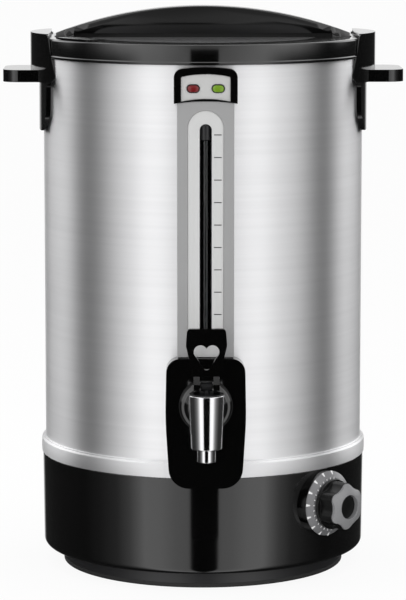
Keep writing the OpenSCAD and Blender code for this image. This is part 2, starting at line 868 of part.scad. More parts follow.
module lamp_lens(side) {
    front_slab(indicator_front - indicator_t - 1, lamp_front) translate([side * lamp_pitch / 2, lamp_z])
        lamp_outline(0);
    front_slab(indicator_front - indicator_t - 1, indicator_front - indicator_t)
        translate([side * lamp_pitch / 2, lamp_z]) lamp_outline(0.9);
}

module lamp_red() {
    color("darkred") lamp_lens(-1);
}

module lamp_green() {
    color("yellowgreen") lamp_lens(1);
}

module pilot_lamps() {
    base = indicator_front - indicator_t - 1;
    color("orange") for (side = [-1, 1]) outward(0, lamp_z)
        translate([side * lamp_pitch / 2, 0, base - lamp_l])
        cylinder(d = lamp_h - 0.6, h = lamp_l);
}

// ---------- water gauge ----------

// Gauge outline with a round top, open towards the tap
module gauge_window(width, top) {
    translate([0, top - width / 2]) circle(d = width);
    translate([-width / 2, gauge_foot_z - cut]) square([width, top - width / 2 - gauge_foot_z + cut]);
}

module gauge_cover() {
    color("darkgray") difference() {
        front_slab(shell_r - 12, gauge_y) intersection() {
            translate([-gauge_w / 2, gauge_foot_z]) square([gauge_w, gauge_top_z + bezel_h - gauge_foot_z]);
            difference() {
                translate([-gauge_w / 2, gauge_foot_z - cut])
                    square([gauge_w, gauge_top_z + bezel_arch - gauge_foot_z + cut]);
                translate([0, bezel_z - seat_gap]) arched(bezel_w, bezel_h, bezel_arch, 7);
            }
        }
        cylinder(r = shell_r + run_gap, h = rim_z);
        // hollow behind the face
        front_slab(shell_r - 12, gauge_y - gauge_wall)
            translate([-gauge_w / 2 + gauge_wall, gauge_foot_z - cut])
            square([gauge_w - 2 * gauge_wall, gauge_top_z - 3 - gauge_foot_z + cut]);
        front_slab(shell_r - 12, gauge_y + cut) gauge_window(scale_w + 2 * seat_gap, scale_top_z + seat_gap);
        // room for the upper elbow
        translate([0, -tube_y, elbow_top_z - elbow_r]) cylinder(r = elbow_r + gap, h = 2 * elbow_r + gap);
    }
}

module gauge_plate() {
    color("gainsboro") difference() {
        union() {
            front_slab(gauge_y - gauge_wall, plate_front) difference() {
                gauge_window(scale_w, scale_top_z);
                translate([-scale_w, gauge_foot_z - 2 * cut]) square([2 * scale_w, 2 * cut + seat_gap]);
            }
            front_slab(plate_back, gauge_y - gauge_wall) difference() {
                gauge_window(scale_w + 2 * plate_flange, scale_top_z + plate_flange);
                translate([-scale_w, gauge_foot_z - 2 * cut]) square([2 * scale_w, 2 * cut + seat_gap]);
            }
        }
        front_slab(shell_r - 12, gauge_y + cut) gauge_window(slot_w, slot_top_z);
    }
}

module sight_tube() {
    color("lightblue") translate([0, -tube_y, tube_base])
        ring(tube_r, tube_r - tube_wall, tube_top - tube_base);
}

// Elbow from the tank to one end of the sight tube; up is 1 for the lower one
module gauge_elbow(z, up, socket_h) {
    translate([0, 0, z]) difference() {
        union() {
            translate([0, -tube_y, up > 0 ? -elbow_r : -elbow_r - socket_h])
                cylinder(r = socket_r, h = 2 * elbow_r + socket_h);
            rotate([90, 0, 0]) translate([0, 0, tank_in - 3])
                cylinder(r = spigot_r, h = tube_y - tank_in + 3);
            difference() {
                rotate([90, 0, 0]) translate([0, 0, tank_r - 2])
                    cylinder(r = elbow_flange_r, h = elbow_flange_t + 2);
                translate([0, 0, -2 * elbow_r]) cylinder(r = tank_r + run_gap, h = 4 * elbow_r);
            }
        }
        rotate([90, 0, 0]) translate([0, 0, tank_in - 4]) cylinder(r = spigot_bore, h = tube_y - tank_in + 4);
        translate([0, -tube_y, up > 0 ? -spigot_bore : -elbow_r - cut])
            cylinder(r = spigot_bore, h = elbow_r + spigot_bore + cut);
        translate([0, -tube_y, up > 0 ? elbow_r : -elbow_r - socket_h - cut])
            cylinder(r = tube_r, h = socket_h + cut);
    }
}

module gauge_elbow_lower() {
    color("black") gauge_elbow(elbow_low_z, 1, socket_low_h);
}

module gauge_elbow_upper() {
    color("black") gauge_elbow(elbow_top_z, -1, socket_top_h);
}

// ---------- tap ----------

module shield_outline(inset) {
    half = shield_w / 2 - inset;
    low = shield_z + inset;
    high = shield_z + shield_h - inset;
    polygon(rounded(mirrored([
        [half - 0.9, high, 11 - inset], [half, shield_z + shield_h * 0.53, 300],
            [half - 3.4, low, 16 - inset]])));
}

module tap_shield() {
    color("black") difference() {
        front_slab(shell_r - 20, shield_y) shield_outline(0);
        translate([0, 0, band_top + seat_gap]) cylinder(r = shell_r + run_gap, h = rim_z);
        translate([0, 0, shield_z - cut])
            cylinder(r = band_r + seat_gap, h = band_top + 2 * seat_gap - shield_z + cut);
        // hollow behind the face, with a boss round the shank
        difference() {
            front_slab(shell_r - 20, shield_y - shield_wall) shield_outline(shield_wall);
            outward(0, tap_z) cylinder(r = boss_r, h = shield_y);
        }
        outward(0, tap_z) cylinder(r = shank_r + seat_gap, h = shield_y + cut);
        // way for the lower elbow's socket
        translate([0, -tube_y, elbow_low_z]) cylinder(r = socket_r + gap, h = shield_h);
    }
}

module tap_rosette() {
    back = shield_y + run_gap;
    color("black") outward(0, tap_z) rotate_extrude() polygon([
        [shank_r + seat_gap, back], [rosette_r, back], [rosette_r, shield_y + 3],
        [rosette_r - 1.5, shield_y + 5.5], [rosette_r - 4.5, shield_y + 6.5],
        [rosette_r - 5.5, shield_y + 8.5],
        [rosette_r - 7.5, rosette_y], [shank_r + seat_gap, rosette_y]]);
}

module tap_body() {
    color("gainsboro") difference() {
        union() {
            translate([0, -tap_y, barrel_top - barrel_h])
                cylinder(r1 = barrel_foot_r, r2 = barrel_r, h = barrel_h);
            translate([0, -tap_y, barrel_top - barrel_h - nozzle_h]) cylinder(r = nozzle_r, h = nozzle_h + 1);
            outward(0, tap_z) translate([0, 0, shank_tip]) cylinder(r = shank_r, h = tap_y - shank_tip);
            outward(0, tap_z) translate([0, 0, rosette_y]) cylinder(r = neck_r, h = tap_y - rosette_y);
        }
        difference() {
            translate([0, -tap_y, chamber_z - 1])
                cylinder(r = chamber_r, h = barrel_top - chamber_z + 1 + cut);
            translate([0, -tap_y, chamber_z - 2]) cylinder(r = outlet_r + seat_w, h = 2 + seat_h);
        }
        translate([0, -tap_y, barrel_top - barrel_h - nozzle_h - cut])
            cylinder(r = outlet_r, h = barrel_h + nozzle_h);
        outward(0, tap_z) translate([0, 0, shank_tip - cut])
            cylinder(r = shank_bore / 2, h = tap_y - shank_tip + cut);
    }
}

module shank_spacer() {
    color("gray") intersection() {
        outward(0, tap_z) translate([0, 0, tank_r - 3])
            ring(shank_r + spacer_wall, shank_r + seat_gap, shell_r - tank_r + 3);
        translate([0, 0, tap_z - boss_r]) ring(shell_in - run_gap, tank_r + run_gap, 2 * boss_r);
    }
}

module tap_washer() {
    color("firebrick") intersection() {
        outward(0, tap_z) translate([0, 0, tank_in - washer_t]) ring(washer_r, shank_r, 2 * washer_t);
        translate([0, 0, tap_z - washer_r - cut])
            cylinder(r = tank_in - run_gap, h = 2 * (washer_r + cut), $fn = fine);
    }
}

module tap_nut() {
    color("gray") outward(0, tap_z) translate([0, 0, tank_in - washer_t - tap_nut_t])
        hex_nut(tap_nut_w, shank_r, tap_nut_t);
}

module tap_bonnet() {
    color("dimgray") translate([0, -tap_y, 0]) difference() {
        union() {
            translate([0, 0, barrel_top]) cylinder(r = bonnet_r, h = bonnet_flange_t);
            translate([0, 0, barrel_top - bonnet_depth])
                cylinder(r = chamber_r - run_gap, h = bonnet_depth + bonnet_flange_t / 2);
        }
        translate([0, 0, barrel_top - bonnet_depth - cut])
            cylinder(r = spring_pocket_r, h = spring_pocket_h + cut);
        translate([0, 0, barrel_top - bonnet_depth - cut])
            cylinder(r = stem_r + run_gap, h = bonnet_depth + 3 * cut);
    }
}

module tap_stem() {
    color("silver") translate([0, -tap_y, 0]) difference() {
        union() {
            translate([0, 0, foot_disc_z]) cylinder(r = stem_r, h = pin_z - foot_disc_z);
            translate([0, 0, foot_disc_z]) cylinder(r = foot_disc_r, h = foot_disc_t);
            translate([-eye_half_w, 0, pin_z]) rotate([0, 90, 0]) cylinder(r = eye_r, h = 2 * eye_half_w);
        }
        translate([-2 * eye_half_w, 0, pin_z]) rotate([0, 90, 0])
            cylinder(r = pin_r + run_gap, h = 4 * eye_half_w);
    }
}

module seat_cup() {
    color("ivory") translate([0, -tap_y, 0]) difference() {
        translate([0, 0, cup_z]) cylinder(r = cup_r, h = cup_h);
        translate([0, 0, foot_disc_z]) cylinder(r = foot_disc_r, h = foot_disc_t);
        translate([0, 0, foot_disc_z]) cylinder(r = stem_r, h = cup_h);
    }
}

// Coil of round wire, from its lower to its upper end
module coil(radius, wire, foot, head, turns) {
    steps = turns * spring_rings;
    points = [for (i = [0 : steps], j = [0 : spring_sides - 1])
        let (turn = 360 * i / spring_rings, side = 360 * j / spring_sides, out = radius + wire * cos(side))
        [out * cos(turn), out * sin(turn), foot + (head - foot) * i / steps + wire * sin(side)]];
    skin = [for (i = [0 : steps - 1], j = [0 : spring_sides - 1])
        let (a = i * spring_sides + j, b = i * spring_sides + (j + 1) % spring_sides)
        each [[a, a + spring_sides, b], [b, a + spring_sides, b + spring_sides]]];
    first = [for (j = [1 : spring_sides - 2]) [0, j, j + 1]];
    last = [for (j = [1 : spring_sides - 2]) [steps * spring_sides, steps * spring_sides + j + 1,
        steps * spring_sides + j]];
    polyhedron(points, concat(skin, first, last));
}

module tap_spring() {
    color("gray") translate([0, -tap_y, 0])
        coil(spring_r, spring_wire_r, spring_foot, spring_head, spring_turns);
    echo(tap_spring_gap = (spring_head - spring_foot) / spring_turns - 2 * spring_wire_r);
}

// Side outline of the lever's fork. The front of its foot is the curve that lifts the
// stem by the same amount for every degree of swing.
module lever_cheek() {
    foot = [for (i = [0 : 12])
        let (a = lever_swing * 1.05 * i / 12, h = cam_height + cam_rate * a * PI / 180)
        [-h * sin(a) - cam_rate * cos(a), -h * cos(a) + cam_rate * sin(a)]];
    difference() {
        polygon(concat([[6, -cam_height]], foot, [[-9.4, 3], [-4, 8.5], [4, 8.5], [6, 5]]));
        circle(r = pin_r);
    }
}

module tap_lever() {
    color("black") translate([0, -tap_y, 0]) difference() {
        union() {
            translate([0, 0, pin_z]) for (side = [-1, 1]) translate([side * (cheek_in + cheek_out) / 2, 0, 0])
                along_x(cheek_out - cheek_in) lever_cheek();
            translate([-cheek_out, -4, pin_z + lever_neck_z]) cube([2 * cheek_out, 8, 2.5]);
            rotate([90, 0, 0]) translate([0, 0, -paddle_t / 2]) linear_extrude(paddle_t)
                polygon(rounded(mirrored([
                [paddle_w / 2 - 1, paddle_base + paddle_h - 1.5, 3],
                    [paddle_w / 2, paddle_base + paddle_h * 0.63, 12],
                [neck_half_w, paddle_base, 3], [neck_half_w, pin_z + lever_neck_z, 0]])));
        }
        rotate([90, 0, 0]) translate([0, 0, -paddle_t]) linear_extrude(2 * paddle_t) translate([0, heart_z]) {
            for (side = [-1, 1]) translate([side * heart_lobe_x, 0]) circle(r = heart_lobe_r);
            polygon(rounded([[-heart_lobe_x - heart_lobe_r + 0.3, -1, 0],
                [heart_lobe_x + heart_lobe_r - 0.3, -1, 0],
                [0, -heart_depth - 3, 3.5]]));
            translate([-heart_lobe_x, -1.2]) square([2 * heart_lobe_x, 2.4]);
        }
    }
}

module lever_pin() {
    color("silver") translate([-cheek_out, -tap_y, pin_z]) rotate([0, 90, 0])
        cylinder(r = pin_r, h = 2 * cheek_out);
}

// ---------- heating ----------

module heat_spreader() {
    color("lightgray") translate([0, 0, spreader_z]) cylinder(r = spreader_r, h = spreader_t);
}

module heating_element() {
    start = -90 + knob_angle + (360 - element_span) / 2;
    z = spreader_z - element_tube_r;
    color("darkgray") {
        union() {
            translate([0, 0, z]) rotate([0, 0, start]) rotate_extrude(angle = element_span)
                translate([element_circle, 0]) circle(r = element_tube_r);
            for (a = [start, start + element_span]) rotate([0, 0, a])
                translate([element_circle, 0, z - element_drop]) {
                cylinder(r = element_tube_r, h = element_drop);
                translate([0, 0, -terminal_l]) cylinder(r = terminal_r, h = terminal_l + 1);
            }
            for (a = [start, start + element_span]) rotate([0, 0, a]) translate([element_circle, 0, z])
                sphere(r = element_tube_r);
        }
    }
}

module thermal_cutout() {
    color("tan") translate([cutout_x, 0, spreader_z - cutout_h]) {
        cylinder(r = cutout_r, h = cutout_h);
        translate([-1, -cutout_r - 4, cutout_h - 1]) cube([2, 2 * cutout_r + 8, 1]);
        for (side = [-1, 1]) translate([side * 4 - 1.5, -0.4, -6]) cube([3, 0.8, 7]);
    }
}

// ---------- thermostat and knob ----------

module thermostat() {
    color("tan") outward(knob_angle, knob_z) difference() {
        union() {
            translate([-stat_half_w, -stat_half_h, stat_front - stat_depth])
                cube([2 * stat_half_w, 2 * stat_half_h, stat_depth]);
            translate([0, 0, stat_front - 1])
                cylinder(r = stat_shoulder_r, h = wall_in - 0.25 - stat_front + 1);
            translate([0, 0, stat_front - 1]) cylinder(r = bush_r, h = base_r + bush_out - stat_front + 1);
        }
        translate([0, 0, stat_front - stat_depth + 8]) cylinder(r = shaft_r + run_gap, h = stat_depth + 20);
    }
}

module thermostat_nut() {
    color("gray") outward(knob_angle, knob_z) translate([0, 0, base_r - 0.1])
        hex_nut(bush_nut_w, bush_r, bush_nut_t - 0.3);
}

module thermostat_bulb() {
    top = knob_z + stat_half_h;
    color("peru") rotate([0, 0, knob_angle]) {
        translate([0, -capillary_circle, top]) cylinder(r = capillary_r, h = bulb_z - top + 1);
        translate([0, -bulb_circle, bulb_z]) cylinder(r = bulb_r, h = bulb_l);
    }
}

module thermostat_shaft() {
    color("silver") outward(knob_angle, knob_z) difference() {
        translate([0, 0, stat_front - stat_depth + 8 + gap])
            cylinder(r = shaft_r, h = knob_y + knob_l - cap_t - 4 - stat_front + stat_depth - 8 - gap);
        translate([shaft_r * 0.5, -shaft_r, knob_y + 4]) cube([shaft_r, 2 * shaft_r, knob_l]);
    }
}

module dial_ring() {
    color("silver") outward(knob_angle, knob_z) rotate_extrude() polygon([
        [dial_bore, dial_edge_y - dial_rim_t], [dial_d / 2, dial_edge_y - dial_rim_t],
        [dial_d / 2, dial_edge_y],
        [dial_d / 2 - dial_slope_w, dial_edge_y + dial_slope_h],
        [dial_d / 2 - dial_slope_w - dial_land_w, dial_y], [dial_bore, dial_y]]);
}

module dial_seat() {
    color("black") difference() {
        outward(knob_angle, knob_z) translate([0, 0, base_r - 4])
            ring(dial_d / 2, dial_bore, dial_edge_y - dial_rim_t - base_r + 4);
        rotate_extrude($fn = fine) polygon([[0, 0], [base_r - base_draft + run_gap, 0],
            [base_r - base_draft + run_gap, foot_h + base_round], [base_r + run_gap, shell_z], [0, shell_z]]);
    }
}

// Lobed plan of the knob
module knob_outline(inset) {
    difference() {
        union() {
            circle(r = knob_r * 0.925 - inset);
            for (i = [0.5 : lobe_count]) rotate(lobe_turn + i * 360 / lobe_count)
                translate([knob_r - lobe_r, 0])
                circle(r = lobe_r - inset);
        }
        for (i = [0 : lobe_count - 1]) rotate(lobe_turn + i * 360 / lobe_count) translate([scallop_at, 0])
            circle(r = scallop_r + inset);
    }
}

module control_knob() {
    color("black") outward(knob_angle, knob_z) difference() {
        union() {
            translate([0, 0, knob_y]) linear_extrude(knob_l - cap_t) knob_outline(0);
            translate([0, 0, knob_y]) cylinder(r = knob_r + skirt_proud, h = skirt_t);
            translate([0, 0, knob_y + knob_l - cap_t - 1]) cylinder(r = cap_hole_r - seat_gap, h = 2);
        }
        translate([0, 0, knob_y - cut]) cylinder(r = dial_bore + 1.5, h = cut + 3);
        difference() {
            translate([0, 0, knob_y - cut]) cylinder(r = shaft_r, h = knob_l - cap_t - 4 + cut);
            translate([shaft_r * 0.5, -shaft_r, knob_y + 4]) cube([shaft_r, 2 * shaft_r, knob_l]);
        }
    }
}

module knob_cap() {
    base = knob_y + knob_l - cap_t;
    centre = base + cap_rim_t - sqrt(pow(cap_dome_r, 2) - pow(knob_r, 2));
    dome = [for (i = [0 : 6])
        let (r = knob_r + (cap_hole_r + cap_lip_w - knob_r) * i / 6)
        [r, min(knob_y + knob_l, centre + sqrt(pow(cap_dome_r, 2) - pow(r, 2)))]];
    color("gray") outward(knob_angle, knob_z) intersection() {
        translate([0, 0, base]) linear_extrude(cap_t + cut) knob_outline(cap_setback);
        rotate_extrude($fn = fine) polygon(concat([[cap_hole_r, base - cut], [knob_r, base - cut]], dome,
            [[cap_hole_r, dome[6].y - 0.1]]));
    }
}

// ---------- mains inlet ----------

module mains_inlet() {
    face = pad_y + inlet_flange_t;
    color("black") outward(180, inlet_z) difference() {
        union() {
            translate([-inlet_flange_w / 2, -inlet_flange_h / 2, pad_y])
                cube([inlet_flange_w, inlet_flange_h, inlet_flange_t]);
            translate([-inlet_w / 2 - inlet_wall, -inlet_h / 2 - inlet_wall, face - inlet_depth - 3])
                cube([inlet_w + 2 * inlet_wall, inlet_h + 2 * inlet_wall,
                    inlet_depth + 3 - inlet_flange_t / 2]);
        }
        translate([-inlet_w / 2, -inlet_h / 2, face - inlet_depth])
            cube([inlet_w, inlet_h, inlet_depth + cut]);
        for (side = [-1, 1]) translate([side * inlet_screw_x, 0, pad_y - cut])
            cylinder(d = inlet_screw_d, h = 2 * cut + inlet_flange_t);
        inlet_pin_places() translate([-pin_w / 2, -pin_h / 2, face - inlet_depth - 3 - cut])
            cube([pin_w, pin_h, 3 + 2 * cut]);
    }
}

module inlet_pin_places() {
    for (side = [-1, 1]) translate([side * pin_pitch / 2, -pin_offset, 0]) children();
    translate([0, pin_offset, 0]) children();
}

module inlet_pins() {
    face = pad_y + inlet_flange_t;
    color("gold") outward(180, inlet_z) inlet_pin_places()
        translate([-pin_w / 2, -pin_h / 2, face - inlet_depth - 3 - pin_tail])
            cube([pin_w, pin_h, pin_len + pin_tail + 3]);
}

module inlet_screws() {
    color("gray") outward(180, inlet_z) for (side = [-1, 1]) translate([side * inlet_screw_x, 0, 0]) {
        translate([0, 0, pad_y - 9]) cylinder(d = inlet_screw_d - 0.4, h = 9 + inlet_flange_t);
        translate([0, 0, pad_y + inlet_flange_t]) cylinder(d = 6, h = 1.8);
    }
}

module terminal_block() {
    color("ivory") translate([-block_w / 2, block_y, foot_h]) difference() {
        cube([block_w, block_d, block_h]);
        for (i = [0 : 2]) translate([(i + 0.5) * block_w / 3, block_d / 2, block_h - block_hole_h])
            cylinder(d = 4, h = block_hole_h + cut);
    }
}

// ---------- wires ----------

function bezier(p, t) = pow(1 - t, 3) * p[0] + 3 * t * pow(1 - t, 2) * p[1] + 3 * t * t * (1 - t)
    * p[2] + pow(t, 3) * p[3];
function curve(p) = [for (i = [0 : wire_steps]) bezier(p, i / wire_steps)];
function around(r, direction, z) = [r * sin(direction), -r * cos(direction), z];

// Round wire along a list of points
module wire(path) {
    last = len(path) - 1;
    points = [for (i = [0 : last])
        let (ahead = unit(path[min(i + 1, last)] - path[max(i - 1, 0)]))
        let (side = unit(cross(ahead, [0.31, 0.17, 0.93])), up = cross(side, ahead))
        for (j = [0 : wire_sides - 1])
            path[i] + wire_r * (cos(360 * j / wire_sides) * side + sin(360 * j / wire_sides) * up)];
    skin = [for (i = [0 : last - 1], j = [0 : wire_sides - 1])
        let (a = i * wire_sides + j, b = i * wire_sides + (j + 1) % wire_sides)
        each [[a, b, a + wire_sides], [b, b + wire_sides, a + wire_sides]]];
    start = [for (j = [1 : wire_sides - 2]) [0, j + 1, j]];
    end = [for (j = [1 : wire_sides - 2]) [last * wire_sides, last * wire_sides + j,
        last * wire_sides + j + 1]];
    polyhedron(points, concat(skin, start, end));
}

module wire_harness() {
    tail = pad_y + inlet_flange_t - inlet_depth - 3 - pin_tail - run_gap;
    hole_z = foot_h + block_h - block_hole_h + run_gap;
    lead = [0, 0, block_hole_h + 1];
    way = block_w / 3;
    stat_back = stat_front - stat_depth - run_gap;
    element_z = spreader_z - element_tube_r - element_drop - terminal_l - run_gap;
    element_a = -90 + knob_angle + (360 - element_span) / 2;
    element_b = element_a + element_span;
    tab_z = spreader_z - cutout_h - 6 - run_gap;
    down = [0, 0, -30];
    color("maroon") {
        // from the inlet to the terminal block
        for (i = [-1, 0, 1]) {
            start = [i * pin_pitch / 2, tail, inlet_z + (i == 0 ? pin_offset : -pin_offset)];
            end = [i * way, block_y + block_d / 2 + wire_r + run_gap, hole_z];
            wire(concat(curve([start, start - [0, 18, 0], end + lead - down, end + lead]), [end]));
        }
        // from the terminal block to thermostat, element and earth stud
        block = [for (i = [-1, 0, 1]) [i * way, block_y + block_d / 2 - wire_r - run_gap, hole_z]];
        live = around(stat_back, knob_angle, knob_z - 12) + 8 * [cos(knob_angle), sin(knob_angle), 0];
        wire(concat([block[2]], curve([block[2] + lead, block[2] - 2 * down, live + [-40, 40, 10], live])));
        earth = [cos(stud_angles[1]), sin(stud_angles[1]), 0] * (stud_circle - stud_d / 2 - run_gap)
            + [0, 0, knob_z];
        wire(concat([block[1]], curve([block[1] + lead, block[1] - down, earth + [30, -30, 0], earth])));
        neutral = [element_circle * cos(element_b), element_circle * sin(element_b), element_z];
        wire(concat([block[0]],
            curve([block[0] + lead, block[0] - 1.5 * down, neutral + 1.5 * down, neutral])));
        // from the thermostat through the cut-out to the element
        switched = around(stat_back, knob_angle, knob_z - 12) - 8 * [cos(knob_angle), sin(knob_angle), 0];
        guard = [cutout_x - 4, 0, tab_z];
        wire(curve([switched, switched + [-30, 30, -10], guard + down, guard]));
        out = [cutout_x + 4, 0, tab_z];
        hot = [element_circle * cos(element_a), element_circle * sin(element_a), element_z];
        wire(curve([out, out + down / 2, hot + down / 2, hot]));
        // up the wall gap to the lamps
        lamp_dir = asin(lamp_pitch / 2 / lead_circle);
        lead_foot = knob_z + stat_half_h + run_gap;
        lead_rise = lamp_z - lamp_h / 2 + 0.3 - run_gap - lead_foot;
        for (i = [0, 1]) wire([for (t = [0 : 0.0625 : 1]) around(lead_circle + t,
            lead_dir + i * lead_pitch * (1 - t) + (lamp_dir - lead_dir) * pow(t, 2) + i * 0.9 * t,
            lead_foot + t * lead_rise)]);
        wire([for (t = [-1 : 0.1 : 1]) around(lead_circle, t * lamp_dir, lamp_z)]);
    }
}

outer_shell();
inner_tank();
tank_studs();
stud_nuts();
trim_band();
base_housing();
bottom_plate();
foot_ring();
top_collar();
lid_cover();
lid_inlays();
lid_liner();
lid_screws();
lid_gasket();
handle_right();
handle_left();
handle_screws();
indicator_bezel();
indicator_plate();
lamp_red();
lamp_green();
pilot_lamps();
gauge_cover();
gauge_plate();
sight_tube();
gauge_elbow_lower();
gauge_elbow_upper();
tap_shield();
tap_rosette();
tap_body();
shank_spacer();
tap_washer();
tap_nut();
tap_bonnet();
tap_stem();
seat_cup();
tap_spring();
tap_lever();
lever_pin();
heat_spreader();
heating_element();
thermal_cutout();
thermostat();
thermostat_nut();
thermostat_bulb();
thermostat_shaft();
dial_seat();
dial_ring();
control_knob();
knob_cap();
mains_inlet();
inlet_pins();
inlet_screws();
terminal_block();
wire_harness();
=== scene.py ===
import math

import bmesh
import bpy
from bpy.props import FloatProperty, FloatVectorProperty, IntProperty, PointerProperty
from mathutils import Matrix, Vector


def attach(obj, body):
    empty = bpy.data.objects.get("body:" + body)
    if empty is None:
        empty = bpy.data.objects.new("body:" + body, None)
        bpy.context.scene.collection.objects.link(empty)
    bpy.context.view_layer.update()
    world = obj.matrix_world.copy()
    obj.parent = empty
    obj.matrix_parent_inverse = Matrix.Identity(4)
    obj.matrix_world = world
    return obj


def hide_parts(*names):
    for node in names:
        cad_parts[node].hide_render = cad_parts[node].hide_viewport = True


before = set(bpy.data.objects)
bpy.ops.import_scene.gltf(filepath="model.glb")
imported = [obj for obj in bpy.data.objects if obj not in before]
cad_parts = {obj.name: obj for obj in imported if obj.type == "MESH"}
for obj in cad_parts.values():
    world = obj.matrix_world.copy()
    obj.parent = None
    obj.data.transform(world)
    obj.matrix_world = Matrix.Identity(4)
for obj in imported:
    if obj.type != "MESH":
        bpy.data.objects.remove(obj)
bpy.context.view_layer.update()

bl_info = {
    "name": "Hot water urn",
    "version": (1, 0, 0),
    "blender": (4, 5, 0),
    "location": "View3D > Sidebar > Urn",
    "description": "Builds the visible pieces of a hot water urn round its packed frame",
    "category": "Object",
}

MM = 0.001

# The body, in millimetres, as in the part's source
SHELL_R = 130.0
SHELL_T = 0.6
SHELL_FOOT = 92.0
BAND_TOP = 105.2
COLLAR_FOOT = 417.2
RIM_Z = 432.9
BASE_FOOT = 14.0
BASE_R = 132.4
TUBE_Y = 128.8
GAUGE_Y = 137.4
TAP_Y = 174.0
TAP_Z = 152.0
DIAL_R = 26.0
DIAL_EDGE = 139.6
DIAL_RISE = 3.3
DIAL_INNER = 20.9
KNOB_Z = 65.0
KNOB_ANGLE = 45.0
LENS_X = 9.7
LENS_Z = 399.5

# Openings: radii and half widths, and the levels of those that aren't round
SHAFT_HOLE_R = 5.1
TAP_HOLE_R = 8.4
LAMP_HALF_W, LAMP_LEVELS = 14.8, (395.7, 403.3)
TUBE_HALF_W, TUBE_LEVELS = 5.7, (170.8, 390.3)
INLET_HALF_W, INLET_HALF_H, INLET_Z = 13.9, 10.1, 44.0

# The photograph's camera, in metres and degrees
CAMERA_AT = (-0.0391, -2.4917, 0.5666)
CAMERA_DOWN = 8.02
CAMERA_TURN = -0.9
CAMERA_LENS = 183.06

# Brightness of the room at azimuths from the camera, in degrees: what brushed metal gathers
# from all heights, and the sharper band just under the horizon that gloss mirrors
ROOM_LEFT = (
    (0, 0.6), (9, 0.7), (20, 1.1), (31, 1.4), (47, 1.75), (62, 1.8), (73, 1.25), (84, 0.5),
    (94, 0.2), (103, 0.4), (113, 1.7), (123, 2.2), (150, 1.9), (168, 0.6), (180, 0.4),
)
ROOM_RIGHT = (
    (0, 0.6), (9, 0.7), (20, 0.95), (31, 1.15), (47, 1.6), (58, 1.85), (70, 1.8), (82, 1.15),
    (91, 0.45), (99, 0.15), (106, 0.4), (115, 1.7), (123, 2.3), (150, 1.9), (168, 0.6),
    (180, 0.4),
)
GLOSS_BAND = (
    (0, 0.0), (9, 0.0), (10.5, 0.9), (20, 0.98), (31, 1.27), (43, 1.33), (48, 0.95), (55, 0.5),
    (65, 0.2), (80, 0.08), (94, 0.03), (180, 0.03),
)
ROOM_PEAK = 2.5


# ---- shapes


def arc_points(centre, radius, start, sweep, steps):
    """Points along an arc, in degrees from the first axis."""
    return [
        (
            centre[0] + radius * math.cos(math.radians(start + sweep * i / steps)),
            centre[1] + radius * math.sin(math.radians(start + sweep * i / steps)),
        )
        for i in range(steps + 1)
    ]


def filleted(points, steps=6):
    """Closed outline from (x, y, corner radius) triples."""
    out = []
    count = len(points)
    for i, (x, y, radius) in enumerate(points):
        here = Vector((x, y))
        if radius <= 0:
            out.append((x, y))
            continue
        back = Vector(points[i - 1][:2]) - here
        ahead = Vector(points[(i + 1) % count][:2]) - here
        u, v = back.normalized(), ahead.normalized()
        half = math.acos(max(-1.0, min(1.0, u.dot(v)))) / 2
        centre = here + (u + v).normalized() * radius / math.sin(half)
        first = here + u * radius / math.tan(half) - centre
        last = here + v * radius / math.tan(half) - centre
        start = math.degrees(math.atan2(first.y, first.x))
        sweep = math.degrees(math.atan2(last.y, last.x)) - start
        sweep = (sweep + 180) % 360 - 180
        out += arc_points(centre, radius, start, sweep, steps)
    return out


def linked(name, mesh):
    """New object in the scene for a mesh."""
    mesh.name = name
    obj = bpy.data.objects.new(name, mesh)
    bpy.context.scene.collection.objects.link(obj)
    return obj


def add_object(name, verts, faces):
    """New object from points in millimetres, with its place in its mesh."""
    mesh = bpy.data.meshes.new(name)
    mesh.from_pydata([tuple(MM * c for c in v) for v in verts], [], faces)
    mesh.update()
    return linked(name, mesh)


def ring_faces(count, rings, looped=False):
    """Faces between rings of equally many points, and back to the first where looped."""
    faces = []
    for k in range(rings if looped else rings - 1):
        m = (k + 1) % rings
        for i in range(count):
            n = (i + 1) % count
            faces.append((k * count + i, k * count + n, m * count + n, m * count + i))
    return faces


def clean(obj):
    """Merges doubles and points every face outwards."""
    bm = bmesh.new()
    bm.from_mesh(obj.data)
    bmesh.ops.remove_doubles(bm, verts=bm.verts, dist=1e-7)
    bmesh.ops.recalc_face_normals(bm, faces=bm.faces)
    bm.to_mesh(obj.data)
    bm.free()


def baked(obj):
    """Turns what the modifiers make into a plain mesh and removes them."""
    bpy.context.view_layer.update()
    evaluated = obj.evaluated_get(bpy.context.evaluated_depsgraph_get())
    mesh = bpy.data.meshes.new_from_object(evaluated)
    obj.modifiers.clear()
    old = obj.data
    obj.data = mesh
    mesh.name = obj.name
    bpy.data.meshes.remove(old)
    return obj


def shade(obj, angle=32):
    """Smooth shading, kept sharp where faces meet at more than the angle."""
    obj.data.shade_smooth()
    obj.data.set_sharp_from_angle(angle=math.radians(angle))


